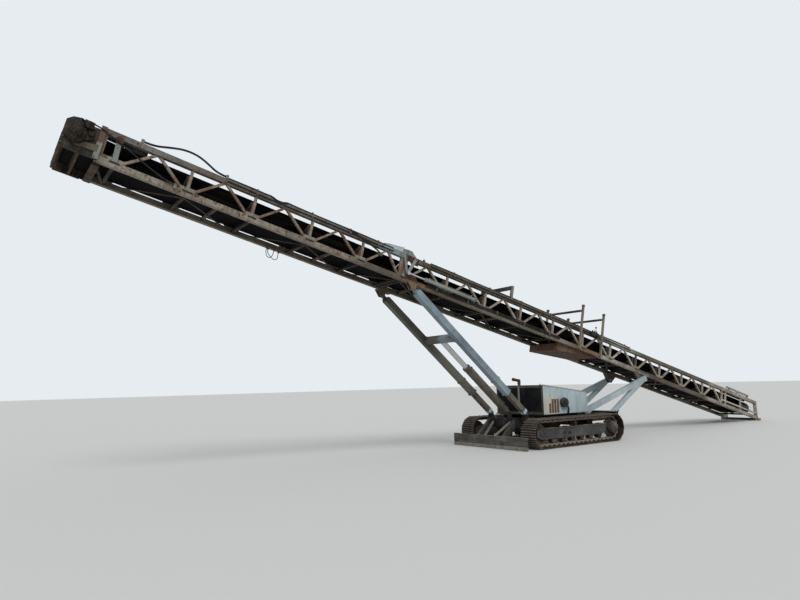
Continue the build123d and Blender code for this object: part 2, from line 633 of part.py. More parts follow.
def build_cords(nodes):
    """Hoses and cables that lie free on the head section, with the clamps that hold their ends."""
    clamps = []
    for u in ARCH_CLAMPS:
        clamps.append(block((u - 25, u + 25), (ARCH_Y - 27, ARCH_Y + 27),
                            (TOP_W + CHORD / 2 - 1, ARCH[0][1] + 33)))
    end = HEAD_HOSE[-1][0]
    clamps.append(block((end - 50, end), (WIDTH / 2 - 1, HEAD_HOSE_Y + 20),
                        (CHORD_W - 10, HEAD_HOSE[-1][1] + 22)))
    for clamp in clamps:
        nodes["truss_head_left"] += on_boom(clamp)
    nodes["hose_arch"] = cord(ARCH, ARCH_Y, ARCH_R, 8)
    nodes["hose_head"] = cord(HEAD_HOSE, HEAD_HOSE_Y, HEAD_HOSE_R, 8)
    for name, route, y in (("cable_loop_upper", LOOP_UPPER, -490.0),
                           ("cable_loop_lower", LOOP_LOWER, -530.0)):
        for u, w in (route[0], route[-1]):
            clip = block((u - 14, u + 14), (y - 14, y + 14), (w, CHORD_W - CHORD / 2 + 1))
            nodes["truss_head_right"] += on_boom(clip)
        nodes[name] = cord(route, y, LOOP_R, 6)


def build_linkage(nodes):
    """Levers, links and rams that fold the head section, in layers outwards from the truss."""
    lever_at, knee, link_at, foot = linkage()
    face = WIDTH / 2
    y_lever = face + SIDE_STEP
    y_link = face + 2
    levers = strap(lever_at, knee, LINK_W, y_lever, y_lever + LINK_T)
    levers -= cross_prism(*lever_at, LINK_PIN + FIT, 0, WIDTH, 12, around=True)
    levers += cross_pin(*knee, LINK_PIN, y_link, y_lever + LINK_T)
    nodes["fold_levers"] = solids([on_boom(s) for s in both_sides(levers)])
    links = strap(knee, link_at, LINK_W * 0.8, y_link, y_link + LINK_T)
    links -= cross_prism(*knee, LINK_PIN + FIT, 0, WIDTH, 12, around=True)
    nodes["fold_links"] = solids([on_boom(s) for s in both_sides(links)])
    y_ram = y_lever + LINK_T + 2 + FOLD_RAM_R
    end = along(foot, knee, FOLD_BARREL)
    barrel = prism(swap(along(foot, knee, 30), y_ram), swap(end, y_ram), FOLD_RAM_R, 16)
    barrel -= prism(swap(along(foot, knee, 300), y_ram), swap(along(foot, knee, FOLD_BARREL + 10), y_ram),
                    FOLD_ROD_R + FIT, 12, around=True)
    barrel += cross_prism(*foot, 42, y_ram - 25, y_ram + 25, 14)
    barrel -= cross_prism(*foot, LINK_PIN + FIT, 0, WIDTH, 12, around=True)
    nodes["fold_barrels"] = solids([on_boom(s) for s in both_sides(barrel)])
    reach = hypot(knee[0] - foot[0], knee[1] - foot[1])
    piston = prism(swap(along(foot, knee, 900), y_ram), swap(along(foot, knee, reach - 30), y_ram),
                   FOLD_ROD_R, 12,
                   around=True)
    piston += cross_prism(*knee, 40, y_ram - 22, y_ram + 22, 14)
    piston += cross_prism(*knee, LINK_PIN, y_lever + LINK_T + 2, y_ram, 12)
    nodes["fold_rods"] = solids([on_boom(s) for s in both_sides(piston)])


def swap(point, y):
    """A point in x and z with its y put in."""
    return (point[0], y, point[1])


def return_roller(u):
    """A flat roller under the return belt, its shaft held by the bottom chords."""
    centre = RETURN_W - RETURN_R - FIT
    shape = prism((u, -INNER_Y + 40, centre), (u, INNER_Y - 40, centre), RETURN_R, ROLLER_SIDES, around=True)
    return shape + block((u - 12, u + 12), (-INNER_Y, INNER_Y), (centre - 12, centre + 12))


def skid_block():
    """Cross beam on the ground that carries the tail."""
    tail_x = PIVOT_X - TAIL_REACH
    length, width, height = SKID
    return block((tail_x + 4, tail_x + 4 + length), (-width / 2, width / 2), (0, height))


def belly_pan():
    """Tray that hangs under the chords and keeps spillage off the power pack."""
    under = CHORD_W - CHORD / 2
    half = INNER_Y + 2
    (u0, u1), (d0, d1) = PAN_U, PAN_DROP
    fall = (d1 - d0) / (u1 - u0)
    back, lip = u0 - 1, u1 - PAN_T
    shape = plate([(u0, under), (u1, under), (u1, under - d1), (u0, under - d0)], -half - PAN_T, half + PAN_T)
    shape -= plate([(back, under + 1), (lip, under + 1), (lip, under - d0 - (lip - u0) * fall + PAN_T),
                    (back, under - d0 - (back - u0) * fall + PAN_T)], -half, half)
    shape -= block((lip - 1, u1 + 1), (-half, half), (under - 2 * PAN_T, under + 1))
    return shape


def hoop(u, deep, rise):
    """Cross bar over the belt on two posts, where the folded head section comes to rest."""
    fall = radians(180 - FOLD_STOP)
    gap = HINGE_RISE - CHORD / 2
    reach = (HINGE_U - u - HOOP_TUBE + gap * sin(fall)) / cos(fall)
    rest = HINGE_W + reach * sin(fall) + gap * cos(fall) - HOOP_CLEAR
    top = TOP_W + rise if rise else rest
    half = HOOP_TUBE / 2
    if not deep:
        shape = block((u - half, u + half), (-WIDTH / 2, WIDTH / 2), (top - 85, top))
        for side in (-1, 1):
            shape += block((u - half, u + half), sorted((side * (WIDTH / 2 - HOOP_TUBE), side * WIDTH / 2)),
                           (TOP_W + CHORD / 2, top - 40))
        return shape
    inner = WIDTH / 2 + HOOP_OUT
    shape = block((u - half, u + half), (-inner - 5, inner + 5), (top - 45, top))
    for side in (-1, 1):
        shape += block((u - 25, u + 25), sorted((side * inner, side * (inner + 50))),
                       (CHORD_W - 40, top + HOOP_HORN))
        shape += cross_prism(u, top + HOOP_HORN, 38, *sorted((side * (inner - 2), side * (inner + 52))), 12)
        for w in (CHORD_W, TOP_W):
            shape += block((u - 35, u + 35), sorted((side * WIDTH / 2, side * (inner + 5))), (w - 30, w + 30))
    return shape


def build_masts(nodes):
    """Two telescopic legs with a lift ram between them."""
    foot = (TRACK_X + MAST_FOOT[0], MAST_FOOT[1])
    head = boom_to_world(*MAST_HEAD)
    length = hypot(head[0] - foot[0], head[1] - foot[1])
    legs = []
    for side in (-1, 1):
        y = side * MAST_Y
        leg = bar(along(foot, head, 110), along(foot, head, LEG_SHOWN + 1400), LEG, y - LEG / 2, y + LEG / 2)
        eye = strap(foot, along(foot, head, 160), 110, y - 22, y + 22)
        eye -= cross_prism(*foot, MAST_PIN + FIT, y - 30, y + 30, 12, around=True)
        legs.append(leg + eye)
    nodes["mast_legs"] = solids(legs)
    sleeves = []
    bore = LEG / 2 + 5
    for side in (-1, 1):
        y = side * MAST_Y
        low, high = along(foot, head, LEG_SHOWN), along(foot, head, length - MAST_CAP)
        tube = bar(low, high, SLEEVE, y - SLEEVE / 2, y + SLEEVE / 2)
        tube -= bar(along(foot, head, LEG_SHOWN - 10), along(foot, head, length - MAST_CAP - 30),
                    2 * bore, y - bore, y + bore)
        eye = strap(along(foot, head, length - MAST_CAP - 20), head, 90, y - 13, y + 13)
        eye -= cross_prism(*head, MAST_PIN + 0.5, y - 30, y + 30, 12, around=True)
        sleeves.append(tube + eye)
    cross = bar(along(foot, head, RAM_CROSS), along(foot, head, RAM_CROSS + 140), 140,
                -MAST_Y + SLEEVE / 2, MAST_Y - SLEEVE / 2)
    nodes["mast_sleeves"] = sleeves[0] + sleeves[1] + cross
    barrel = prism(swap(along(foot, head, 110), 0), swap(along(foot, head, RAM_BARREL), 0), RAM_R, 20)
    barrel -= prism(swap(along(foot, head, 200), 0), swap(along(foot, head, RAM_BARREL + 10), 0),
                    RAM_ROD_R + FIT, 16, around=True)
    barrel += strap(foot, along(foot, head, 130), 124, -45, 45)
    nodes["lift_ram_barrel"] = barrel - cross_prism(*foot, MAST_PIN + FIT, -60, 60, 12, around=True)
    inside, shown = along(foot, head, 980), along(foot, head, RAM_CROSS - FIT)
    nodes["lift_ram_rod"] = prism(swap(inside, 0), swap(shown, 0), RAM_ROD_R, 16, around=True)


def build_struts(nodes):
    """Fixed V of box struts on each side of the chassis, up to the lift pivot."""
    long_deep, short_deep, thick = STRUT
    apex = (PIVOT_X, PIVOT_Z)
    y0, y1 = CHORD_Y + 38, CHORD_Y + 38 + thick
    base = RAIL_TOP + 30
    shape, feet = None, None
    for x, deep, past in zip(STRUT_FEET, (long_deep, short_deep), (STRUT_PAST, 0.0)):
        foot = (TRACK_X + x, base)
        reach = hypot(apex[0] - foot[0], apex[1] - foot[1])
        leg = bar(along(foot, apex, -2 * deep), along(foot, apex, reach + past), deep, y0, y1)
        shape = leg if shape is None else shape + leg
        half = deep / 2 * reach / (apex[1] - foot[1]) + 20
        pad = block((foot[0] - half, min(foot[0] + half, TRACK_X + STRUT_FRONT)), (y0 - 30, y1 + 20),
                    (base - 16, base))
        feet = pad if feet is None else feet + pad
    shape -= block((TRACK_X - MACHINE_W * 2, TRACK_X + MACHINE_W * 2), (0, MACHINE_W), (0, base))
    shape -= block((TRACK_X + STRUT_FRONT, TRACK_X + MACHINE_W), (0, MACHINE_W), (0, PIVOT_Z))
    shape += feet
    shape += cross_pin(*apex, STRUT_PIN - 0.3, CHORD_Y - 40, y0 + 5)
    nodes["strut_left"], nodes["strut_right"] = both_sides(shape)


def shoe_outline(s, pitch):
    """Height over the shoe plate for one shoe, as distance and height."""
    return [(s + 0.10 * pitch, 0), (s + 0.32 * pitch, GROUSER), (s + 0.54 * pitch, 0)]


def track_point(s, height):
    """A point of the track's loop: s runs round it, height stands over the shoe plates."""
    r = TRACK_H / 2 - GROUSER
    straight, arc = 2 * AXLE_X, pi * r
    s = s % (2 * straight + 2 * arc)
    mid = TRACK_H / 2
    if s < straight:
        return (-AXLE_X + s, mid - r - height)
    s -= straight
    if s < arc:
        t = s / r
        return (AXLE_X + (r + height) * sin(t), mid - (r + height) * cos(t))
    s -= arc
    if s < straight:
        return (AXLE_X - s, mid + r + height)
    t = (s - straight) / r
    return (-AXLE_X - (r + height) * sin(t), mid + (r + height) * cos(t))


def stadium(radius, y0, y1, count):
    """A rounded bar over both axles."""
    mid = TRACK_H / 2
    return plate(arc(AXLE_X, mid, radius, -90, 90, count) + arc(-AXLE_X, mid, radius, 90, 270, count), y0, y1)


def build_track():
    """Left track about the tracks' middle: shoes with grousers over a chain, as one loop."""
    r = TRACK_H / 2 - GROUSER
    pitch = (4 * AXLE_X + 2 * pi * r) / SHOES
    points = [track_point(s, h) for k in range(SHOES) for s, h in shoe_outline(k * pitch, pitch)]
    y0, y1 = TRACK_Y - SHOE_W / 2, TRACK_Y + SHOE_W / 2
    loop = plate(points, y0, y1) - stadium(r - SHOE_T, y0 - 1, y1 + 1, ARC_STEPS)
    c0, c1 = TRACK_Y - CHAIN_W / 2, TRACK_Y + CHAIN_W / 2
    chain = stadium(r - SHOE_T + 2, c0, c1, ARC_STEPS)
    chain -= stadium((r - SHOE_T - CHAIN_H) / cos(pi / 2 / ARC_STEPS), c0 - 1, c1 + 1, ARC_STEPS)
    return loop + chain


def sprocket(x, y):
    """Toothed wheel with a hub that stands out on the outer side."""
    mid = TRACK_H / 2
    step = 360 / TEETH
    outline = []
    for k in range(TEETH):
        for share, radius in ((-0.30, WHEEL_R - 34), (-0.15, WHEEL_R), (0.15, WHEEL_R), (0.30, WHEEL_R - 34)):
            t = radians((k + share) * step)
            outline.append((x + radius * cos(t), mid + radius * sin(t)))
    shape = plate(outline, y - 26, y + 26)
    shape += cross_prism(x, mid, 155, y + 20, y + 175, 16)
    return shape + cross_prism(x, mid, 120, y + 170, y + 195, 12)


def build_chassis(nodes):
    """Rails, cross tubes, deck, lugs and the front plate."""
    rail_w, rail_d = RAIL
    z0, z1 = RAIL_TOP - rail_d, RAIL_TOP
    shape = None
    for side in (-1, 1):
        y = side * RAIL_Y
        rail = block(CHASSIS_X, (y - rail_w / 2, y + rail_w / 2), (z0, z1))
        shape = rail if shape is None else shape + rail
    for x in CROSS_X:
        shape += block((x - 110, x + 110), (-CROSS_Y, CROSS_Y), (z0 - 60, z0 + 120))
    for x in (CHASSIS_X[0] + 60, CHASSIS_X[1] - 60):
        shape += block((x - 60, x + 60), (-RAIL_Y, RAIL_Y), (z0, z1))
    eye_x, eye_z = CHASSIS_X[0] - EYE[0] + 55, z1 - 110
    for side in (-1, 1):
        y = side * RAIL_Y
        tab = strap((CHASSIS_X[0] + 40, eye_z), (eye_x, eye_z), 110, y - EYE[1] / 2, y + EYE[1] / 2)
        shape += tab - cross_pin(eye_x, eye_z, EYE_R, y - 50, y + 50)
    # outriggers that carry the rear struts, and the mast's foot beam
    reach = CHORD_Y + 38 + STRUT[2] + 20
    for x, (first, last) in zip(STRUT_FEET, ((-310, -45), (-150, 150))):
        shape += block((x + first, x + last), (-reach, reach), (z1, z1 + 14))
        shape += block((x + first + 30, x + first + 150), (-reach + 20, reach - 20), (z1 - 100, z1))
    fx, fz = MAST_FOOT
    shape += block((fx - 60, fx + 60), (-MAST_Y - 70, MAST_Y + 70), (z1 - 110, z1))
    for y in (-MAST_Y, 0, MAST_Y):
        half = 23 if y else 46
        for side in (-1, 1):
            inner = y + side * (half + 1)
            shape += plate([(fx - 75, z1 - 20), (fx + 75, z1 - 20), (fx + 45, fz + 40), (fx - 45, fz + 40)],
                           *sorted((inner, inner + side * 20)))
        ends = (y - half - 21, y + half + 21)
        shape += cross_pin(fx, fz, MAST_PIN, *ends)
    for y in (-RAIL_Y, RAIL_Y):
        shape += block((PACK_X[0], PACK_X[1]), (y - 40, y + 40), (z1 - 1, DECK_Z - DECK_T + 1))
    shape += block((PACK_X[0] - 40, PACK_X[1] + 60), (-PACK_W / 2 - 10, PACK_W / 2 + 10),
                   (DECK_Z - DECK_T, DECK_Z))
    nodes["chassis_frame"] = Pos(TRACK_X, 0, 0) * shape

    front, width, height, thick = PLATE
    z = PLATE_LIFT
    blade = block((front - thick, front), (-width / 2, width / 2), (z, z + height))
    blade += block((front - 60, front), (-width / 2, width / 2), (z + height - 10, z + height))
    for side in (-1, 1):
        blade += plate([(CHASSIS_X[1], z0 + 10), (front - thick, z + 60), (front - thick, z + height - 40),
                        (CHASSIS_X[1], z1 - 20)], *sorted((side * (RAIL_Y - 40), side * (RAIL_Y + 40))))
    nodes["front_plate"] = Pos(TRACK_X, 0, 0) * blade


def build_tracks(nodes):
    """Track frames, their wheels and the tracks."""
    mid = TRACK_H / 2
    low, high = FRAME_Z
    roller_r = 75.0
    inner_z = TRACK_H / 2 - WHEEL_R - FIT
    low_z = inner_z + FIT + roller_r
    y0, y1 = TRACK_Y - 110, TRACK_Y + 110
    # a box over the rollers with side plates that carry their pins, and a fork round the idler
    frame = block(FRAME_X, (y0, y1), (low_z + roller_r + 12, high))
    for wall in ((y0, y0 + 20), (y1 - 20, y1)):
        frame += plate([(FRAME_X[0] + 120, low), (FRAME_X[1], low), (1500, low + 60), (1500, high - 30),
                        (FRAME_X[1], high), (FRAME_X[0], high), (FRAME_X[0], low + 100)], *wall)
    frame -= block((1060, 1600), (y0 + 20, y1 - 20), (0, TRACK_H))
    frame -= plate(arc(-AXLE_X, mid, WHEEL_R + 8, -90, 90, 12), y0 - 1, y1 - 24)
    frame -= plate(arc(-AXLE_X, mid, 190, -90, 90, 10), y0 - 1, y1 + 1)
    frame -= cross_prism(AXLE_X, mid, 40, 0, MACHINE_W, 12, around=True)
    wheels = [sprocket(-AXLE_X, TRACK_Y)]
    idler = cross_prism(AXLE_X, mid, WHEEL_R, TRACK_Y - 30, TRACK_Y + 30, 20)
    idler += cross_prism(AXLE_X, mid, 120, TRACK_Y - 60, TRACK_Y + 60, 12)
    idler += cross_prism(AXLE_X, mid, 40 - FIT, TRACK_Y - 100, TRACK_Y + 100, 12, around=True)
    wheels.append(idler)
    for k in range(LOWER_ROLLERS):
        x = -870 + k * (1740 / (LOWER_ROLLERS - 1))
        wheels.append(cross_prism(x, low_z, roller_r, TRACK_Y - 90 + FIT, TRACK_Y + 90 - FIT, 8))
    top_z = TRACK_H - inner_z - FIT - 45
    wheels.append(cross_prism(60, top_z, 45, TRACK_Y - 60, TRACK_Y + 60, 8))
    for wall in ((TRACK_Y + 60 + FIT, TRACK_Y + 85), (TRACK_Y - 85, TRACK_Y - 60 - FIT)):
        frame += block((30, 90), wall, (high - 5, top_z + 25))
    # arms to the chassis cross tubes
    for x in CROSS_X:
        frame += block((x - 90, x + 90), (CROSS_Y, y0 + 5), (RAIL_TOP - RAIL[1] - 50, high + 10))
    place = Pos(TRACK_X, 0, 0)
    nodes["track_frame_left"], nodes["track_frame_right"] = both_sides(place * frame)
    pairs = [both_sides(place * wheel) for wheel in wheels]
    nodes["track_wheels_left"] = solids([pair[0] for pair in pairs])
    nodes["track_wheels_right"] = solids([pair[1] for pair in pairs])
    nodes["track_left"], nodes["track_right"] = both_sides(place * build_track())


def build_pack(nodes):
    """Hollow housing over the engine, with dark panels in front and a door on the right."""
    x0, x1 = PACK_X
    half = PACK_W / 2
    outline = [(x0, DECK_Z), (x1, DECK_Z), (x1, PACK_FRONT_Z), (x0, PACK_REAR_Z)]
    shell = plate(outline, -half, half)
    inner = [(x0 + SKIN, DECK_Z - 1), (x1 - SKIN, DECK_Z - 1), (x1 - SKIN, PACK_FRONT_Z - SKIN - 2),
             (x0 + SKIN, PACK_REAR_Z - SKIN)]
    shell -= plate(inner, -half + SKIN, half - SKIN)
    for y0, y1 in ((-half + 45, -22), (22, half - 45)):
        shell -= block((x1 - 50, x1 + 10), (y0, y1), (DECK_Z + 50, PACK_FRONT_Z - 60))
    door_z = (DECK_Z + 60, PACK_REAR_Z - 30)
    shell -= block(DOOR_X, (-half - 5, -half + SKIN + 5), door_z)
    for k in range(4):
        x = 265 + k * 95
        shell -= block((x, x + 55), (half - SKIN - 5, half + 5), (DECK_Z + 60, DECK_Z + 360))
    place = Pos(TRACK_X, 0, 0)
    panels = []
    for y0, y1 in ((-half + 45, -22), (22, half - 45)):
        panels.append(place * block((x1 - SKIN - 10.3, x1 - SKIN - 0.3), (y0 - 12, y1 + 12),
                                    (DECK_Z + 38, PACK_FRONT_Z - 48)))
    nodes["pack_front_panels"] = solids(panels)
    door = block((DOOR_X[0] + DOOR_GAP, DOOR_X[1] - DOOR_GAP), (-half, -half + SKIN),
                 (door_z[0] + DOOR_GAP, door_z[1] - DOOR_GAP))
    axis = (DOOR_X[1] - DOOR_GAP / 2, -half - KNUCKLE_R)
    for z in (door_z[0] + 70, door_z[1] - 110):
        knuckle = rod((*axis, z), (*axis, z + KNUCKLE_L), KNUCKLE_R)
        door += knuckle + block((axis[0] - 40, axis[0]), (-half - 5, -half), (z, z + KNUCKLE_L))
        z += KNUCKLE_L + FIT
        shell += prism((*axis, z), (*axis, z + KNUCKLE_L), KNUCKLE_R, 12)
        shell += block((axis[0], axis[0] + 40), (-half - 5, -half), (z, z + KNUCKLE_L))
    nodes["pack_door"] = place * door
    nodes["pack_shell"] = place * shell
    nodes["engine_block"] = place * block((-420, 520), (-280, 280), (DECK_Z, DECK_Z + 420))
    pipe_x, pipe_y = 560, -220
    roof = PACK_REAR_Z + (PACK_FRONT_Z - PACK_REAR_Z) * (pipe_x - x0) / (x1 - x0)
    pipe = prism((pipe_x, pipe_y, roof - 30), (pipe_x, pipe_y, roof + 165), 38, 16)
    pipe += prism((pipe_x - 20, pipe_y, roof + 147), (pipe_x + 230, pipe_y, roof + 190), 38, 16)
    nodes["exhaust_pipe"] = place * (pipe - plate(outline, -half, half))
    filter_x, filter_z = 110, DECK_Z + 270
    filt = cross_prism(filter_x, filter_z, 115, half + FIT, half + 120, 20)
    nodes["air_filter"] = place * (filt + cross_prism(filter_x, filter_z, 60, half + 110, half + 145, 14))


if __name__ == "__main__":
    for name, shape in build().items():
        export_step(shape, f"parts/{name}.step")
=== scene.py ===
"""Tracked stacking conveyor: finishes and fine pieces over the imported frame.

The boom is dressed in its own frame: u runs along it towards the discharge head, y across
and w square to it, with the origin at the lift pivot above the rear struts.
"""
from __future__ import annotations

import json
import logging
import math
import random
from dataclasses import dataclass
from enum import Enum
from typing import Iterable, Optional, Sequence

import bmesh
import bpy
from mathutils import Matrix, Vector

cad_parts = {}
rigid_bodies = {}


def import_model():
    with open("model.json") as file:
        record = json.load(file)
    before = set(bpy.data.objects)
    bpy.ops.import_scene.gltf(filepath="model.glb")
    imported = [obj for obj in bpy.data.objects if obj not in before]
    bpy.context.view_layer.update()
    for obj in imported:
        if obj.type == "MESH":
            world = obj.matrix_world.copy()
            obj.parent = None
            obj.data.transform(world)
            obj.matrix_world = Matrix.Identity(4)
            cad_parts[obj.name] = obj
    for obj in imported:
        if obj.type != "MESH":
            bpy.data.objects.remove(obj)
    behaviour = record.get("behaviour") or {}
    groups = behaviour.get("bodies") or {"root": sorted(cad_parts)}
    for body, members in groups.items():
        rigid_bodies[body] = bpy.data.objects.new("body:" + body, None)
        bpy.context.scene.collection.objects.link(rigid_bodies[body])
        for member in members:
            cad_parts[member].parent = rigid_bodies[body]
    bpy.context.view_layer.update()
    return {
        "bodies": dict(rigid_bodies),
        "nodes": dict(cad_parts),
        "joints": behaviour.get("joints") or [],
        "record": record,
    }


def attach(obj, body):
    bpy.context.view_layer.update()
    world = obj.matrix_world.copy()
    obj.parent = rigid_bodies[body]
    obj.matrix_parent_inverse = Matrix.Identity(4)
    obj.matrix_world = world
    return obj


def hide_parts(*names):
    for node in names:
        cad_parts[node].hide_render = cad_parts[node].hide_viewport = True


LOG = logging.getLogger("conveyor")
Point = Sequence[float]
Profile = Sequence[tuple[float, float]]
Number = "Value | float"
Socket, Material, Vert = bpy.types.NodeSocket, bpy.types.Material, bmesh.types.BMVert

TRACK_X = -0.387646  # middle of the tracks

# the boom: pivot, slope, bays, centres of the chords and their outer face
PIVOT = (TRACK_X - 3.72, 1.54)
TILT = math.radians(13.75)
PITCH = 1.22
CHORD, CHORD_Y, CHORD_W, TOP_W = 0.1, 0.5225, 0.219, 0.727
SIDE = 0.5725
MAIN_NODES = [0.28 + PITCH * k for k in range(-4, 8)]
HEAD_NODES = [9.925 + PITCH * k for k in range(5)]
HEAD_DRUM, HEAD_DRUM_W = 15.466, 0.4613

# hinge of the fold, undersides of the belt's two runs, hose on the top chord, fold rams
HINGE = (8.743, 0.852)
CARRY_W, RETURN_W = 0.473, 0.279
HOSE_Y, HOSE_W = 0.553, 0.797
RAM_Y = SIDE + 0.072

# the tracks: centre line, axles, height, lower rollers and the wheels' radius
TRACK_Y, AXLE_X, TRACK_H = 1.05, 1.355, 0.7
ROLLER_X = [TRACK_X - 0.87 + k * 0.348 for k in range(6)]
WHEEL_R = 0.2407
ROLLER_Z = TRACK_H / 2 - WHEEL_R + 0.075

LEFT, FRONT, UP = (0, 1, 0), (1, 0, 0), (0, 0, 1)
SMOOTH = 0.62  # edges that turn by less, in radians, are shaded smooth
SHAFT = 0.42  # radius of a roller's shaft over the roller's
RUST, DARK_RUST, DUST, GRIME = "5a3a26", "2e2019", "8d8678", "1d1b1a"


def boom(u: float, y: float, w: float) -> Vector:
    """A point of the boom's frame, in the row frame."""
    return Vector((PIVOT[0] + u * math.cos(TILT) - w * math.sin(TILT), y,
                   PIVOT[1] + u * math.sin(TILT) + w * math.cos(TILT)))


def mast_ends() -> tuple[Vector, Vector]:
    """Foot and head of the masts, half way between them."""
    return Vector((TRACK_X + 1.25, 0, 0.8)), boom(8.56, 0, 0.085)


def linear(code: str) -> tuple[float, ...]:
    """A colour written as six hexadecimal digits, in linear light with full cover."""
    values = [int(code[k:k + 2], 16) / 255 for k in (0, 2, 4)]
    return (*(v / 12.92 if v <= 0.04045 else ((v + 0.055) / 1.055) ** 2.4 for v in values), 1.0)


def spaced(count: int, phase: float = 0.0) -> list[float]:
    """Angles evenly round a circle."""
    return [2 * math.pi * k / count + phase for k in range(count)]


def circle(centre: Point, radius: float, angles: Iterable[float]) -> list[Point]:
    """Points on an upright circle that faces across the machine."""
    x, y, z = centre
    return [(x + radius * math.cos(t), y, z + radius * math.sin(t)) for t in angles]


def rim(x0: float, z0: float, x1: float, z1: float, width: float,
        inset: float = 0.0) -> list[tuple[Point, Point]]:
    """Four rectangles that frame a larger one: two upright, then two level."""
    return [((x0, z0), (x0 + width, z1)), ((x1 - width, z0), (x1, z1)),
            ((x0 + inset, z0), (x1 - inset, z0 + width)),
            ((x0 + inset, z1 - width), (x1 - inset, z1))]


class Value:
    """A number that runs through a shader, for use in plain expressions."""

    def __init__(self, graph: Graph, socket: Socket) -> None:
        """Keeps the socket and the graph it belongs to."""
        self.graph = graph
        self.socket = socket

    def _join(self, operation: str, *others: Number, clamp: bool = False) -> Value:
        """Adds one Math node over this value and others."""
        return self.graph.value("ShaderNodeMath", {"operation": operation, "use_clamp": clamp},
                                self, *others)

    def __add__(self, other: Number) -> Value:
        """Sum."""
        return self._join("ADD", other)

    def __mul__(self, other: Number) -> Value:
        """Product."""
        return self._join("MULTIPLY", other)

    def __sub__(self, other: Number) -> Value:
        """Difference."""
        return self._join("SUBTRACT", other)

    def __rsub__(self, other: float) -> Value:
        """A number less this value."""
        return self.graph.value("ShaderNodeMath", {"operation": "SUBTRACT"}, other, self)

    __radd__ = __add__
    __rmul__ = __mul__

    def absolute(self) -> Value:
        """Size without sign."""
        return self._join("ABSOLUTE")

    def larger(self, other: Number) -> Value:
        """The larger of two."""
        return self._join("MAXIMUM", other)

    def wrapped(self, period: float) -> Value:
        """Remainder on a repeat, from minus half of it to half."""
        return self._join("WRAP", period / 2, -period / 2)

    def clamped(self) -> Value:
        """Held between 0 and 1."""
        return self._join("ADD", 0.0, clamp=True)

    def step(self, low: float, high: float) -> Value:
        """Smooth step from 0 at low to 1 at high."""
        return self.graph.value("ShaderNodeMapRange", {"interpolation_type": "SMOOTHSTEP"},
                                self, low, high)

    def fall(self, low: float, high: float) -> Value:
        """Smooth step from 1 at low to 0 at high."""
        return 1 - self.step(low, high)

    def near(self, centre: float, inner: float, outer: float) -> Value:
        """1 up to the inner distance from a centre, 0 from the outer one."""
        return (self - centre).absolute().fall(inner, outer)


class Graph:
    """One material's nodes."""

    def __init__(self, name: str, on_boom: bool = False) -> None:
        """Starts a material.

        Args:
            name: the material's name.
            on_boom: whether patterns lie square to the boom.
        """
        self.material = bpy.data.materials.new(name)
        self.material.use_nodes = True
        self.tree = self.material.node_tree
        self.tree.nodes.clear()
        self.shader = self.node("ShaderNodeBsdfPrincipled")
        self.node("ShaderNodeOutputMaterial", {}, self.shader.outputs[0])
        place = self.node("ShaderNodeTexCoord").outputs["Object"]
        if on_boom:
            c, s = math.cos(TILT), math.sin(TILT)
            shift = (-(PIVOT[0] * c + PIVOT[1] * s), 0.0, PIVOT[0] * s - PIVOT[1] * c)
            place = self.node("ShaderNodeMapping", {}, place, shift, (0.0, TILT, 0.0)).outputs[0]
        self.place = place
        split = self.node("ShaderNodeSeparateXYZ", {}, place)
        self.u, self.y, self.w = (Value(self, socket) for socket in split.outputs)

    def feed(self, socket: Socket, value: object) -> None:
        """Links or sets one input.

        Args:
            socket: the input.
            value: a Value, a socket, a number, a vector, a colour's digits, or None for none.
        """
        if isinstance(value, Value):
            value = value.socket
        if isinstance(value, Socket):
            self.tree.links.new(value, socket)
        elif value is not None:
            socket.default_value = linear(value) if isinstance(value, str) else value

    def node(self, kind: str, settings: Optional[dict[str, object]] = None,
             *inputs: object) -> bpy.types.Node:
        """Adds any node.

        Args:
            kind: the node's type.
            settings: attributes set before the inputs.
            inputs: what the first input sockets get, in order.

        Returns:
            The new node.
        """
        made = self.tree.nodes.new(kind)
        for key, value in (settings or {}).items():
            setattr(made, key, value)
        for socket, value in zip(made.inputs, inputs):
            self.feed(socket, value)
        return made

    def value(self, kind: str, settings: dict[str, object], *inputs: object) -> Value:
        """Adds any node and gives its first output."""
        return Value(self, self.node(kind, settings, *inputs).outputs[0])

    def noise(self, scale: float, detail: float = 4.0, rough: float = 0.55,
              stretch: Point = (1.0, 1.0, 1.0), shift: float = 0.0) -> Value:
        """Cloudy pattern from 0 to 1."""
        place = self.node("ShaderNodeMapping", {}, self.place, (shift,) * 3, None, stretch)
        return self.value("ShaderNodeTexNoise", {}, place.outputs[0], None, scale, detail, rough)

    def cloud(self, scale: float = 1.3) -> Value:
        """Large soft clouds of 0 and 1."""
        return self.noise(scale, 3.0).step(0.35, 0.68)

    def mix(self, share: Number, first: object, second: object) -> Socket:
        """A colour between two.

        Args:
            share: how much of the second there is.
            first: one colour.
            second: the other.

        Returns:
            The mixed colour's socket.
        """
        made = self.node("ShaderNodeMix", {"data_type": "RGBA"})
        for slot, value in ((0, share), (6, first), (7, second)):
            self.feed(made.inputs[slot], value)
        return made.outputs[2]

    def close(self, colour: Socket, rough: Value, metal: Number,
              height: Value, depth: float, shine: float = 0.22) -> Material:
        """Feeds the shader.

        Args:
            colour: base colour socket.
            rough: roughness.
            metal: metallic.
            height: surface relief from 0 to 1.
            depth: metres that a height of 1 stands for.
            shine: specular level.

        Returns:
            The finished material.
        """
        bump = self.node("ShaderNodeBump")
        feeds = ((self.shader, "Base Color", colour), (self.shader, "Roughness", rough),
                 (self.shader, "Metallic", metal), (self.shader, "Specular IOR Level", shine),
                 (bump, "Strength", 0.7), (bump, "Distance", depth), (bump, "Height", height),
                 (self.shader, "Normal", bump.outputs[0]))
        for node, name, value in feeds:
            self.feed(node.inputs[name], value)
        return self.material


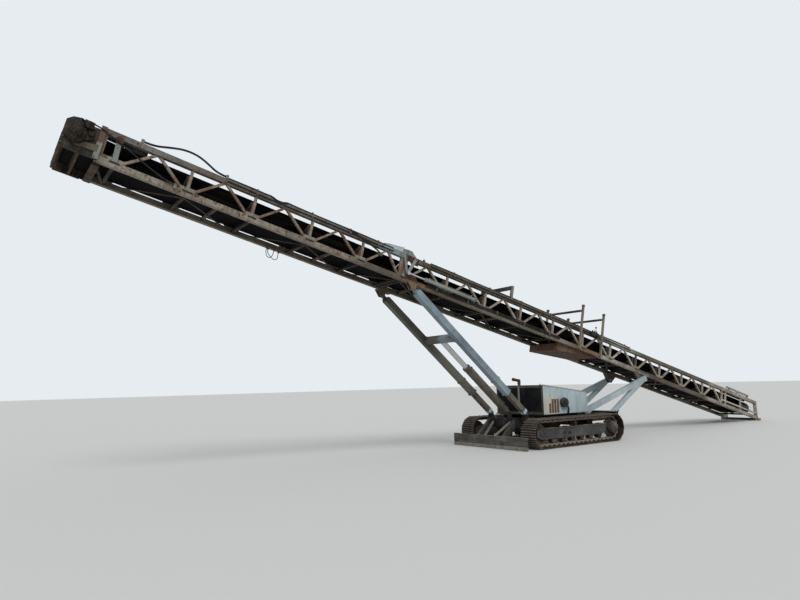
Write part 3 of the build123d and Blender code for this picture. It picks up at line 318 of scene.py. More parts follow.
@dataclass(frozen=True)
class WornPaint:
    """Old machine paint: tone changes, rust patches and speckles, rain streaks, dust and grime."""

    name: str
    base: str
    second: str
    rust: float = 0.3
    streaks: float = 0.3
    dust: float = 0.2
    grime: float = 0.2
    rough: float = 0.55
    on_boom: bool = False
    shine: float = 0.22

    def tone(self, graph: Graph) -> Socket:
        """Paint before wear: two tones in soft clouds."""
        return graph.mix(graph.cloud(), self.base, self.second)

    def build(self) -> Material:
        """Makes the material."""
        graph = Graph(self.name, self.on_boom)
        fine = graph.noise(62.0, 5.0, 0.62)
        mid = graph.noise(11.0, 7.0, 0.72, shift=3.1)
        rain = graph.noise(12.0, 5.0, 0.6, stretch=(1.8, 1.8, 0.13), shift=7.7)
        colour = self.tone(graph)
        colour = graph.mix(rain.step(0.5, 0.75) * self.streaks * 0.7, colour, "6f6252")
        cake = graph.noise(2.6, 5.0, 0.6, shift=11.0).step(0.42, 0.7)
        colour = graph.mix(cake * self.dust, colour, DUST)
        soot = graph.noise(1.7, 5.0, 0.7, shift=5.0).step(0.46, 0.72)
        colour = graph.mix(soot * self.grime, colour, GRIME)
        edge = 0.68 - 0.22 * self.rust
        patch = (mid * 0.5 + fine * 0.3 + rain * 0.2).step(edge, edge + 0.05)
        bleed = (mid * 0.6 + rain * 0.4).step(edge - 0.1, edge + 0.05)
        colour = graph.mix(bleed * (0.2 + self.rust * 0.5), colour, "6a5442")
        iron = graph.mix(fine.step(0.35, 0.65), "6a4029", DARK_RUST)
        colour = graph.mix(patch, colour, iron)
        rough = (fine * 0.2 + (self.rough - 0.1)).larger(patch * 0.85)
        height = (1 - patch) * 0.6 + fine * 0.4
        return graph.close(colour, rough.clamped(), 0.0, height, 0.0009, self.shine)


@dataclass(frozen=True)
class LatticePaint(WornPaint):
    """The boom's sides: khaki chords, paler web, grey-green plates at the nodes."""

    first_node: float = 0.28
    on_boom: bool = True

    def _chord(self, graph: Graph, cloud: Value, pale: Value, low: Value) -> Socket:
        """Tone of the chords, with painted highlight and painted shade on the bottom chords.

        Args:
            graph: the material's nodes.
            cloud: soft clouds.
            pale: where the paint is paler.
            low: where the bottom chord is.

        Returns:
            The colour's socket.
        """
        u = graph.u
        # paler khaki on the bottom chord: on the head section it is the paint; between u 1.9 and
        # 7.4 it is a painted highlight for the chord's lit top edge
        khaki = low * (u.step(9.6, 10.4) * 0.7 + u.fall(6.2, 7.4) * u.step(1.9, 3.4) * 0.4)
        # less of it on the far side: painted shade on the far bottom chord
        khaki = khaki * (graph.y.step(-0.1, 0.1) * 0.6 + 0.4)
        chord = graph.mix(cloud, "5a5449", "3d3934")
        chord = graph.mix(khaki, chord, graph.mix(cloud, "a39d90", "837d6d"))
        return graph.mix(pale * 0.75, chord, graph.mix(cloud, "b0ada2", "827e74"))

    def _web(self, graph: Graph, pale: Value) -> Socket:
        """Tone of the posts and diagonals, with one dark post over the struts.

        Args:
            graph: the material's nodes.
            pale: where the paint is paler.

        Returns:
            The colour's socket.
        """
        web = graph.mix(graph.noise(2.3, 4.0, 0.6).step(0.4, 0.62), "8f8479", "66503f")
        web = graph.mix(graph.u.fall(6.5, 8.5) * 0.6, web, "a6a196")
        web = graph.mix(pale * 0.7, web, "bcb8ac")
        post = graph.u.near(0.28, 0.045, 0.055) * graph.y.step(0.0, 0.1)
        return graph.mix(post * 0.85, web, "25292c")

    def tone(self, graph: Graph) -> Socket:
        """Chords, web and node plates by their place on the boom.

        Args:
            graph: the material's nodes.

        Returns:
            The colour's socket.
        """
        u, w = graph.u, graph.w
        cloud = graph.cloud(1.1)
        pale = u.fall(1.9, 2.25) * u.step(0.0, 0.4) + u.fall(-3.9, -3.4)
        low = (w - CHORD_W).fall(0.055, 0.065)
        middle = (w - (CHORD_W + TOP_W) / 2).absolute()
        colour = graph.mix(middle.step(0.198, 0.206), self._web(graph, pale),
                           self._chord(graph, cloud, pale, low))
        colour = graph.mix((w - TOP_W).step(0.044, 0.049) * 0.8, colour, "8d9498")
        worn = graph.noise(1.9, 4.0, 0.6, shift=5.5).step(0.4, 0.62) * 0.6 + 0.15
        grey = (1 - low) * u.step(9.6, 10.4) * worn
        colour = graph.mix(grey * (w - TOP_W).step(-0.058, -0.050), colour, "787c80")
        arm = u.near(9.06, 0.42, 0.55) * (w - TOP_W).step(-0.12, -0.05) * u.step(8.86, 8.88)
        colour = graph.mix(arm, colour, "7f8f92")
        tan = u.near(8.35, 0.25, 0.5) * w.fall(0.30, 0.42)
        tan = tan * graph.noise(6.0, 5.0, 0.65, shift=6.0).step(0.35, 0.6)
        colour = graph.mix((tan * graph.y.step(-0.1, 0.1)).clamped() * 0.7, colour, "8a6a48")
        colour = graph.mix(u.fall(-6.98, -6.9) * 0.8, colour, "2c2a28")
        orange = u.near(2.5, 0.3, 0.6) * w.fall(0.26, 0.34)
        colour = graph.mix(orange * 0.55, colour, "80563c")
        beside = (u - self.first_node).wrapped(PITCH).absolute()
        at_node = beside.fall(0.10, 0.15) * (w - CHORD_W).fall(0.118, 0.124)
        plate = graph.mix(cloud, "949a8e", "777a6c")
        return graph.mix(at_node * (w - CHORD_W).step(0.049, 0.053), colour, plate)


@dataclass(frozen=True)
class EndPostPaint(WornPaint):
    """End posts: rust brown above, grey green below."""

    def tone(self, graph: Graph) -> Socket:
        """Paint by height on the post."""
        ragged = graph.noise(7.0, 5.0, 0.65) * 0.16
        lower = graph.mix(ragged * 5, "868b80", "6d7168")
        return graph.mix((graph.w + ragged).step(0.53, 0.60), lower, self.base)


@dataclass(frozen=True)
class MastPaint(WornPaint):
    """Masts: blue grey on the near one, darker khaki grey as painted shade on the far one."""

    def tone(self, graph: Graph) -> Socket:
        """Paint by side; the far mast's darker tones are painted shade."""
        cloud = graph.cloud()
        near = graph.mix(cloud, self.base, self.second)
        # far mast: darker khaki grey tones, painted shade
        return graph.mix(graph.y.step(-0.1, 0.1), graph.mix(cloud, "65645a", "4a4a45"), near)


@dataclass(frozen=True)
class HousingPaint(WornPaint):
    """Pale housing: creamy by the louvres, dark front edges and a roof gone to tan dirt."""

    def tone(self, graph: Graph) -> Socket:
        """Paint by its place on the housing.

        Args:
            graph: the material's nodes.

        Returns:
            The colour's socket.
        """
        pack = PowerPack()
        colour = super().tone(graph)
        ragged = graph.noise(4.0, 5.0, 0.65) * 0.3
        cream = (graph.u + ragged).step(-0.02, 0.16) * (graph.w + ragged).fall(1.32, 1.46)
        colour = graph.mix(cream * 0.75, colour, "b9b5a6")
        roof = graph.w - (graph.u - pack.x0) * pack.lean - (pack.rear - 0.004)
        patchy = graph.noise(5.0, 6.0, 0.7, shift=2.0).step(0.38, 0.6)
        colour = graph.mix(roof.step(0.0, 0.004) * (patchy * 0.6 + 0.35), colour, "8b7a5c")
        drips = graph.noise(14.0, 5.0, 0.6, stretch=(1.6, 1.6, 0.1), shift=4.4).step(0.5, 0.66)
        colour = graph.mix(drips * roof.step(-0.16, 0.0) * 0.55, colour, "93805f")
        return graph.mix(graph.u.step(pack.x1 - 0.006, pack.x1 - 0.003), colour, "42413a")


@dataclass(frozen=True)
class HoopPaint(WornPaint):
    """Hoops: pale posts that darken towards the horns, near black cross bars."""

    def tone(self, graph: Graph) -> Socket:
        """Paint by height and by distance from the middle."""
        colour = graph.mix(graph.w.step(1.15, 1.4) * 0.8, super().tone(graph), "35302c")
        return graph.mix(graph.y.absolute().fall(0.53, 0.55), colour, "23272f")


@dataclass(frozen=True)
class ScuffedPlate(WornPaint):
    """Scraped steel plate: long scratches, dull smudges, a dirty foot and painted shade on the
    arms.
    """

    def tone(self, graph: Graph) -> Socket:
        """Steel with marks that run across and up.

        Args:
            graph: the material's nodes.

        Returns:
            The colour's socket.
        """
        across = graph.noise(16.0, 5.0, 0.6, stretch=(1.0, 0.09, 2.2)).step(0.46, 0.64)
        upright = graph.noise(9.0, 5.0, 0.65, stretch=(1.0, 1.7, 0.2), shift=3.0).step(0.5, 0.68)
        colour = graph.mix(across * 0.6, self.base, "6b6963")
        colour = graph.mix(upright * 0.6, colour, "3a3835")
        # the arms behind the front face are painted darker: painted shade under the machine
        shaded_arms = graph.u.fall(TRACK_X + 1.86, TRACK_X + 1.90)
        colour = graph.mix(shaded_arms * 0.75, colour, "262524")
        smudge = graph.noise(3.4, 5.0, 0.7, shift=8.0).step(0.56, 0.64) * graph.w.fall(0.12, 0.24)
        return graph.mix(smudge * 0.85, colour, "1f1e1d")


@dataclass(frozen=True)
class RawIron:
    """Bare or rusted steel and castings."""

    name: str
    dark: str
    light: str
    rust: float = 0.5
    metal: float = 0.25
    dust: float = 0.15
    on_boom: bool = False

    def build(self) -> Material:
        """Makes the material."""
        graph = Graph(self.name, self.on_boom)
        fine = graph.noise(55.0, 5.0, 0.65)
        mid = graph.noise(9.0, 5.0, 0.6, shift=2.0)
        colour = graph.mix(mid.step(0.35, 0.7), self.dark, self.light)
        edge = 0.62 - 0.2 * self.rust
        blotch = (mid * 0.5 + fine * 0.5).step(edge, edge + 0.1)
        colour = graph.mix(blotch * 0.85, colour, graph.mix(fine.step(0.4, 0.6), RUST, DARK_RUST))
        cake = graph.noise(3.2, 5.0, 0.6, shift=9.0).step(0.45, 0.7)
        colour = graph.mix(cake * self.dust, colour, DUST)
        rough = (fine * 0.25 + 0.6).clamped()
        return graph.close(colour, rough, (1 - blotch) * self.metal, fine, 0.0007)


@dataclass(frozen=True)
class BeltRubber:
    """Conveyor belt: black rubber with a dusty, scuffed face."""

    name: str = "worn belt rubber"

    def build(self) -> Material:
        """Makes the material."""
        graph = Graph(self.name, True)
        fine = graph.noise(60.0, 4.0, 0.6)
        along = graph.noise(6.0, 4.0, 0.6, stretch=(0.12, 2.4, 1.0), shift=4.0)
        colour = graph.mix(graph.noise(1.6, 4.0, 0.6).step(0.4, 0.7), "0a0a0c", "151416")
        top = graph.w.step(0.40, 0.46)
        worn = (along * 0.7 + fine * 0.3).step(0.42, 0.66)
        share = worn * graph.y.absolute().fall(0.12, 0.36) * top * 0.45
        colour = graph.mix(share, colour, "6a635a")
        colour = graph.mix(along.step(0.5, 0.72) * top * 0.25, colour, "4a4641")
        colour = graph.mix((1 - top) * 0.8, colour, "08080a")
        return graph.close(colour, (fine * 0.2 + 0.62).clamped(), 0.0, fine, 0.0006, 0.04)


@dataclass(frozen=True)
class HoseRubber:
    """Hydraulic hose: black, faintly ribbed and dusty."""

    name: str = "hose rubber"

    def build(self) -> Material:
        """Makes the material."""
        graph = Graph(self.name)
        fine = graph.noise(90.0, 3.0, 0.6)
        cloud = graph.noise(5.0, 4.0, 0.6)
        colour = graph.mix(cloud.step(0.45, 0.75) * 0.5, "1f1f20", "57524b")
        return graph.close(colour, (fine * 0.2 + 0.5).clamped(), 0.0, fine, 0.0004)


@dataclass(frozen=True)
class RamChrome:
    """Plated rod with oil film and fine scratches along it."""

    name: str = "plated rod"

    def build(self) -> Material:
        """Makes the material."""
        graph = Graph(self.name, True)
        scratch = graph.noise(120.0, 3.0, 0.5, stretch=(0.05, 1.0, 1.0))
        film = graph.noise(4.0, 4.0, 0.6)
        colour = graph.mix(film.step(0.5, 0.8) * 0.6, "c9cacb", "7c766c")
        rough = (scratch * 0.18 + film * 0.12 + 0.1).clamped()
        return graph.close(colour, rough, 0.9, scratch, 0.0001)


class Finish(Enum):
    """Every finish on the machine, by what wears it.

    Paints: name, two tones, then rust, streaks, dust and grime from 0 to 1.
    Iron: name, two tones, then rust, metal and dust from 0 to 1.
    """

    MAIN_LATTICE = LatticePaint("lower lattice paint", "", "", 0.62, 0.5, 0.25, 0.35)
    HEAD_LATTICE = LatticePaint("head lattice paint", "", "", 0.66, 0.5, 0.2, 0.45,
                                first_node=9.925)
    LACES = RawIron("cross beams", "1d1a1a", "332d2a", 0.7, 0.25, 0.05, on_boom=True)
    HOOPS = HoopPaint("hoop paint", "857c6c", "6a6054", 0.5, 0.5, 0.2, 0.2, on_boom=True)
    BLUE_GREY = WornPaint("pale blue grey paint", "a9b7bc", "93a2a8", 0.22, 0.45, 0.22, 0.16)
    PACK = HousingPaint("housing paint", "aebfc5", "96a8ae", 0.2, 0.6, 0.15, 0.1)
    PANEL = WornPaint("front panel paint", "12151c", "0b0d13", 0.05, 0.1, 0.08, 0.3, shine=0.06)
    CHASSIS = WornPaint("chassis paint", "1e2023", "151618", 0.25, 0.15, 0.15, 0.5, shine=0.1)
    UNDERCARRIAGE = WornPaint("undercarriage paint", "444446", "363536", 0.25, 0.3, 0.22, 0.35)
    LEDGE = WornPaint("frame ledge dirt", "77705d", "5f594b", 0.3, 0.1, 0.4, 0.1)
    LEG = WornPaint("inner leg paint", "5b5650", "454140", 0.5, 0.4, 0.2, 0.4)
    BARREL = WornPaint("ram barrel paint", "8f9590", "787d78", 0.3, 0.3, 0.15, 0.3, on_boom=True)
    MAST = MastPaint("mast paint", "84949d", "6a7a83", 0.2, 0.45, 0.15, 0.3)
    LIFT_RAM = WornPaint("lift ram paint", "5c584d", "444139", 0.3, 0.3, 0.2, 0.4)
    END_POST = EndPostPaint("end post paint", "5f4637", "5f4637", 0.45, 0.4, 0.1, 0.2,
                            on_boom=True)
    HEAD_PLATE = WornPaint("head plate paint", "2a2623", "1d1b19", 0.45, 0.3, 0.08, 0.5,
                           on_boom=True)
    RUSTY = RawIron("rusty plate", "35271f", "4b372a", 0.8, 0.05, 0.15, on_boom=True)
    TRAY = RawIron("rusty tray", "5c4231", "7a5a43", 0.8, 0.05, 0.25, on_boom=True)
    BLADE = ScuffedPlate("worn plate steel", "3d3c3a", "302f2e", 0.25, 0.6, 0.2, 0.3)
    # lighter steel: worn edges, and on the front plate's top edge bar a painted highlight
    BLADE_EDGE = RawIron("worn plate edge and painted highlight", "77746c", "8f8c84", 0.2, 0.3, 0.2)
    TRACK = RawIron("crawler shoe steel", "1c1918", "2f2a27", 0.5, 0.15, 0.15)
    GROUSER = RawIron("worn grouser steel", "7a6f66", "5d544d", 0.35, 0.3, 0.3)
    CHAIN = RawIron("track chain steel", "978878", "75685a", 0.2, 0.2, 0.4)
    WHEEL = RawIron("wheel casting", "3d3b39", "57544f", 0.4, 0.3, 0.45)
    ROLLER = RawIron("worn roller steel", "4a443e", "6b645b", 0.7, 0.35, on_boom=True)
    BRACKET = RawIron("rusty bracket", "5d4937", "7c6650", 0.7, 0.1, on_boom=True)
    LAGGING = RawIron("drum lagging", "232121", "343130", 0.15, 0.0, on_boom=True)
    MOTOR = WornPaint("drive housing paint", "2b2923", "191917", 0.5, 0.3, 0.1, 0.5,
                      on_boom=True, shine=0.1)
    ENGINE = RawIron("engine iron", "2a2c2b", "3e403d", 0.3, 0.2)
    EXHAUST = RawIron("exhaust steel", "4a3424", "6d4c33", 0.9, 0.1)
    PLASTIC = WornPaint("black moulding", "1b1c1f", "242629", 0.0, 0.1, 0.12, 0.2, rough=0.45)
    # dark sheets in slots and holes: painted shade
    SHADOW = RawIron("painted slot shade", "0c0c0d", "141416", 0.0, 0.0, 0.05)
    RUST_BAR = RawIron("rusted louvre", "5c4634", "745843", 0.5, 0.05, 0.15)
    PACK_RIM = WornPaint("housing rim paint", "48473c", "3a3a33", 0.35, 0.3, 0.15, 0.3)
    POST = WornPaint("front post paint", "8c908c", "767a77", 0.25, 0.3, 0.1, 0.1)
    KHAKI = WornPaint("khaki rail paint", "5f594a", "4a453a", 0.4, 0.3, 0.3, 0.3, on_boom=True)
    BOLT = RawIron("bolt steel", "5f5b55", "7c776f", 0.6, 0.5)
    CHROME = RamChrome()
    BELT = BeltRubber()
    HOSE = HoseRubber()

    def material(self) -> Material:
        """The finish's material, made when it is first asked for."""
        return bpy.data.materials.get(self.value.name) or self.value.build()


def hang(name: str, data: bpy.types.ID, finish: Finish, body: str) -> bpy.types.Object:
    """Makes an object of some data and hangs it on a body.

    Args:
        name: the piece's name.
        data: its mesh or curve.
        finish: what it wears.
        body: the body it rides on.

    Returns:
        The object.
    """
    data.materials.append(finish.material())
    made = bpy.data.objects.new(name, data)
    bpy.context.scene.collection.objects.link(made)
    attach(made, body)
    LOG.info("piece %s: %s on %s", name, finish.value.name, body)
    return made


def held_line(name: str, points: Sequence[Point], radius: float, body: str = "head_boom",
              sides: int = 3) -> bpy.types.Object:
    """A hose through points with soft corners.

    Args:
        name: the piece's name.
        points: the route.
        radius: of the line.
        body: the body it rides on.
        sides: bevel resolution.

    Returns:
        The curve's object.
    """
    data = bpy.data.curves.new(name, "CURVE")
    data.dimensions = "3D"
    data.bevel_depth = radius
    data.bevel_resolution = sides
    data.use_fill_caps = True
    spline = data.splines.new("NURBS")
    spline.points.add(len(points) - 1)
    for spot, point in zip(spline.points, points):
        spot.co = (*point, 1.0)
    spline.order_u = 3
    spline.use_endpoint_u = True
    spline.resolution_u = 6
    return hang(name, data, Finish.HOSE, body)


class Shape:
    """A mesh under construction."""

    def __init__(self) -> None:
        """Starts empty."""
        self.mesh = bmesh.new()

    def _verts(self, geometry: Iterable[object]) -> list[Vert]:
        """The vertices among some geometry."""
        return [g for g in geometry if isinstance(g, Vert)]

    def _round(self, verts: Iterable[Vert], width: float, steps: int = 1,
               sharp: float = 0.5) -> Shape:
        """Bevels the sharp edges among some vertices.

        Args:
            verts: the vertices.
            width: of the bevel; 0 for none.
            steps: flats across it.
            sharp: smallest angle that is bevelled.

        Returns:
            This shape.
        """
        if width > 0:
            chosen = set(verts)
            edges = {e for v in chosen for e in v.link_edges if e.other_vert(v) in chosen
                     and len(e.link_faces) == 2 and e.calc_face_angle(0) > sharp}
            bmesh.ops.bevel(self.mesh, geom=list(edges), offset=width, offset_type="OFFSET",
                            segments=steps, profile=0.5, affect="EDGES", material=-1)
        return self

    def _cube(self, middle: Matrix, size: Point, bevel: float) -> Shape:
        """A box of some size round a place."""
        matrix = middle @ Matrix.Diagonal((*size, 1.0))
        made = bmesh.ops.create_cube(self.mesh, size=1.0, matrix=matrix)
        return self._round(made["verts"], bevel)

    def box(self, low: Point, high: Point, bevel: float = 0.0) -> Shape:
        """A box between two opposite corners, its edges softened by a width."""
        size = [abs(b - a) for a, b in zip(low, high)]
        return self._cube(Matrix.Translation((Vector(low) + Vector(high)) / 2), size, bevel)

    def rod(self, start: Point, end: Point, radius: float, sides: int = 16,
            bevel: float = 0.0) -> Shape:
        """A round bar between two points.

        Args:
            start: one end.
            end: the other.
            radius: of the bar.
            sides: flats round it.
            bevel: width of the softened rims.

        Returns:
            This shape.
        """
        a, b = Vector(start), Vector(end)
        turn = (b - a).to_track_quat("Z", "Y").to_matrix().to_4x4()
        made = bmesh.ops.create_cone(self.mesh, cap_ends=True, cap_tris=False, segments=sides,
                                     radius1=radius, radius2=radius, depth=(b - a).length,
                                     matrix=Matrix.Translation((a + b) / 2) @ turn)
        return self._round(made["verts"], bevel, 2, 1.0)

    def bar(self, start: Point, end: Point, width: float, depth: float,
            bevel: float = 0.0) -> Shape:
        """A square-edged bar between two points.

        Args:
            start: one end.
            end: the other.
            width: across y, or across x where the bar runs along y.
            depth: square to the run.
            bevel: width of the softened edges.

        Returns:
            This shape.
        """
        a, b = Vector(start), Vector(end)
        along = (b - a).normalized()
        across = Vector(LEFT if abs(along.y) < 0.9 else FRONT)
        up = along.cross(across).normalized()
        turn = Matrix((along, up.cross(along), up)).transposed().to_4x4()
        place = Matrix.Translation((a + b) / 2) @ turn
        return self._cube(place, ((b - a).length, width, depth), bevel)

    def plate(self, outline: Sequence[Point], y0: float, y1: float, bevel: float = 0.0,
              place: Optional[Matrix] = None) -> Shape:
        """An outline in x and z, extruded across y.

        Args:
            outline: corners of the outline.
            y0: where it starts.
            y1: where it ends.
            bevel: width of the softened edges.
            place: where the outline is drawn.

        Returns:
            This shape.
        """
        verts = [self.mesh.verts.new((x, y0, z)) for x, z in outline]
        face = self.mesh.faces.new(verts)
        verts += self._verts(bmesh.ops.extrude_face_region(self.mesh, geom=[face])["geom"])
        bmesh.ops.translate(self.mesh, verts=verts[len(outline):], vec=(0, y1 - y0, 0))
        if place is not None:
            bmesh.ops.transform(self.mesh, matrix=place, verts=verts)
        return self._round(verts, bevel)

    def lathe(self, profile: Profile, start: Point, way: Point, steps: int = 24) -> Shape:
        """Spins a profile of distance and radius round a line.

        Args:
            profile: distances along the line and radii; closed at both ends by a radius of 0.
            start: where distance 0 lies.
            way: the line's direction.
            steps: flats round the axis.

        Returns:
            This shape.
        """
        a, axis = Vector(start), Vector(way).normalized()
        side = axis.orthogonal().normalized()
        verts = [self.mesh.verts.new(a + axis * d + side * r) for d, r in profile]
        edges = [self.mesh.edges.new(pair) for pair in zip(verts, verts[1:])]
        made = bmesh.ops.spin(self.mesh, geom=verts + edges, cent=a, axis=axis,
                              angle=2 * math.pi, steps=steps, use_merge=True)
        bmesh.ops.remove_doubles(self.mesh, verts=list(set(self._verts(made["geom_last"]) + verts)),
                                 dist=1e-5)
        return self

    def cap(self, at: Point, way: Point, radius: float, top: float, high: float,
            sides: int = 16) -> Shape:
        """A stepped round cap on a pin, with the radii of its foot and top and its height."""
        profile = [(0, 0), (0, radius), (high - .004, radius), (high, top), (high, 0)]
        return self.lathe(profile, at, way, sides)

    def ring(self, at: Point, way: Point, start: float, end: float, inner: float, outer: float,
             sides: int = 22) -> Shape:
        """A band round a line, between two distances along it and two radii."""
        profile = [(start, inner), (start, outer), (end, outer), (end, inner)]
        return self.lathe(profile, at, way, sides)

    def port(self, at: Point, up: Point, low: float, mid: float, high: float, radius: float,
             cap: float) -> Shape:
        """A round boss with a hexagon fitting on it, by three heights and two radii."""
        foot, middle, top = (Vector(at) + Vector(up) * height for height in (low, mid, high))
        return self.rod(foot, middle, radius, 12).rod(middle, top, cap, 6)

    def bolts(self, spots: Iterable[Point], axis: Point, radius: float, height: float) -> Shape:
        """Hexagon heads on washers.

        Args:
            spots: where they sit.
            axis: where they stand up to.
            radius: of the heads.
            height: of the heads.

        Returns:
            This shape.
        """
        way = Vector(axis).normalized()
        for spot in spots:
            at = Vector(spot)
            self.rod(at - way * 0.002, at + way * height * 0.35, radius * 1.35, 10)
            self.rod(at, at + way * height, radius, 6)
        return self

    def mirrored(self) -> Shape:
        """Adds the same on the machine's other side."""
        geometry = [*self.mesh.verts, *self.mesh.edges, *self.mesh.faces]
        made = bmesh.ops.duplicate(self.mesh, geom=geometry)["geom"]
        bmesh.ops.scale(self.mesh, vec=(1, -1, 1), verts=self._verts(made))
        faces = [g for g in made if isinstance(g, bmesh.types.BMFace)]
        bmesh.ops.reverse_faces(self.mesh, faces=faces)
        return self

    def turned(self, place: Matrix) -> Shape:
        """Moves everything so far by a matrix."""
        bmesh.ops.transform(self.mesh, matrix=place, verts=list(self.mesh.verts))
        return self

    def piece(self, name: str, finish: Finish, body: str = "chassis") -> bpy.types.Object:
        """Closes the mesh and hangs it on a body.

        Args:
            name: the piece's name.
            finish: what it wears.
            body: the body it rides on.

        Returns:
            The object.
        """
        bmesh.ops.recalc_face_normals(self.mesh, faces=list(self.mesh.faces))
        for face in self.mesh.faces:
            face.smooth = True
        for edge in self.mesh.edges:
            edge.smooth = len(edge.link_faces) != 2 or edge.calc_face_angle(0) < SMOOTH
        data = bpy.data.meshes.new(name)
        self.mesh.to_mesh(data)
        self.mesh.free()
        return hang(name, data, finish, body)

    def on_boom(self, name: str, finish: Finish, body: str = "head_boom") -> bpy.types.Object:
        """Does the same with a mesh that is drawn in the boom's frame."""
        place = Matrix.Translation((PIVOT[0], 0.0, PIVOT[1])) @ Matrix.Rotation(-TILT, 4, "Y")
        return self.turned(place).piece(name, finish, body)


CAD_FINISHES: dict[str, Finish] = {
    "truss_main": Finish.MAIN_LATTICE, "truss_head": Finish.HEAD_LATTICE, "laces": Finish.LACES,
    "rest_hoops": Finish.HOOPS, "tail_skid": Finish.HOOPS, "belly_pan": Finish.TRAY,
    "mast_legs": Finish.LEG, "mast": Finish.MAST, "strut": Finish.BLUE_GREY,
    "pack_front_panels": Finish.PANEL, "pack": Finish.PACK, "engine_block": Finish.ENGINE,
    "exhaust": Finish.EXHAUST, "air_filter": Finish.PLASTIC, "chassis": Finish.CHASSIS,
    "front_plate": Finish.BLADE, "track_frame": Finish.UNDERCARRIAGE,
    "track_wheels": Finish.WHEEL, "track_": Finish.TRACK, "idlers": Finish.BRACKET,
    "return_rollers": Finish.ROLLER, "belt": Finish.BELT, "tail_drum": Finish.LAGGING,
    "head_drum": Finish.LAGGING, "head_plates": Finish.HEAD_PLATE,
    "head_crossplate": Finish.RUSTY, "drive_motor": Finish.MOTOR,
    "lift_ram_barrel": Finish.LIFT_RAM, "lift_ram_rod": Finish.CHROME,
    "fold_rods": Finish.CHROME, "fold": Finish.BARREL, "hose": Finish.HOSE,
    "cable": Finish.HOSE,
}


def dress_frame(nodes: dict[str, bpy.types.Object]) -> None:
    """Gives every CAD node the finish of the first key that its name starts with.

    Args:
        nodes: the nodes' objects by name.
    """
    for name, node in nodes.items():
        finish = next(f for key, f in CAD_FINISHES.items() if name.startswith(key))
        for held in node.material_slots:
            held.material = finish.material()
        LOG.info("frame node %s: %s", name, finish.value.name)


@dataclass
class Studio:
    """Camera, floor and soft light."""

    eye: Point = (11.998, 11.005, 1.593)
    yaw: float = -125.659
    pitch: float = 7.892
    roll: float = -1.435
    lens: float = 27.217
    sensor: float = 36.0
    far: float = 500.0
    floor: float = 150.0
    floor_tone: Point = (0.62, 0.62, 0.61, 1.0)
    sky: Point = (0.93, 0.97, 1.0, 1.0)
    backdrop: Point = (0.80, 0.84, 0.88, 1.0)
    world: float = 0.62
    sun: float = 1.55
    sun_size: float = math.radians(28)
    sun_tone: Point = (1.0, 0.98, 0.95)
    sun_turn: Point = (math.radians(-42), math.radians(22), 0.0)

    def build(self) -> None:
        """Sets up what isn't part of the machine."""
        scene = bpy.context.scene
        scene.view_settings.view_transform = "Standard"
        self._camera(scene)
        self._floor(scene)
        self._lights(scene)

    def _camera(self, scene: bpy.types.Scene) -> None:
        """Puts the camera where the photograph was taken.

        Args:
            scene: what it is added to.
        """
        yaw, pitch, roll = (math.radians(v) for v in (self.yaw, self.pitch, self.roll))
        ahead = Vector((math.cos(pitch) * math.cos(yaw), math.cos(pitch) * math.sin(yaw),
                        math.sin(pitch)))
        level = Vector((math.sin(yaw), -math.cos(yaw), 0.0))
        right = math.cos(roll) * level + math.sin(roll) * level.cross(ahead)
        data = bpy.data.cameras.new("camera")
        data.sensor_width = self.sensor
        data.lens = self.lens
        data.clip_end = self.far
        camera = bpy.data.objects.new("camera", data)
        turn = Matrix((right, right.cross(ahead), -ahead)).transposed().to_4x4()
        camera.matrix_world = Matrix.Translation(self.eye) @ turn
        scene.collection.objects.link(camera)
        scene.camera = camera

    def _floor(self, scene: bpy.types.Scene) -> None:
        """A plain pale floor.

        Args:
            scene: what it is added to.
        """
        mesh = bmesh.new()
        bmesh.ops.create_grid(mesh, x_segments=1, y_segments=1, size=self.floor)
        data = bpy.data.meshes.new("floor")
        mesh.to_mesh(data)
        mesh.free()
        material = bpy.data.materials.new("floor")
        material.use_nodes = True
        shader = material.node_tree.nodes["Principled BSDF"]
        shader.inputs["Base Color"].default_value = self.floor_tone
        shader.inputs["Roughness"].default_value = 0.9
        data.materials.append(material)
        floor = bpy.data.objects.new("floor", data)
        scene.collection.objects.link(floor)

    def _lights(self, scene: bpy.types.Scene) -> None:
        """An even sky and one wide soft key from above and behind the camera.

        Args:
            scene: what it is added to.
        """
        world = bpy.data.worlds.new("studio")
        world.use_nodes = True
        tree = world.node_tree
        back = tree.nodes["Background"]
        back.inputs["Color"].default_value = self.sky
        back.inputs["Strength"].default_value = self.world
        seen = tree.nodes.new("ShaderNodeBackground")
        seen.inputs["Color"].default_value = self.backdrop
        path = tree.nodes.new("ShaderNodeLightPath")
        mix = tree.nodes.new("ShaderNodeMixShader")
        for source, target in ((path.outputs["Is Camera Ray"], mix.inputs[0]),
                               (back.outputs[0], mix.inputs[1]), (seen.outputs[0], mix.inputs[2]),
                               (mix.outputs[0], tree.nodes["World Output"].inputs[0])):
            tree.links.new(source, target)
        scene.world = world
        light = bpy.data.lights.new("key", "SUN")
        light.energy = self.sun
        light.angle = self.sun_size
        light.color = self.sun_tone
        key = bpy.data.objects.new("key", light)
        key.rotation_euler = self.sun_turn
        scene.collection.objects.link(key)


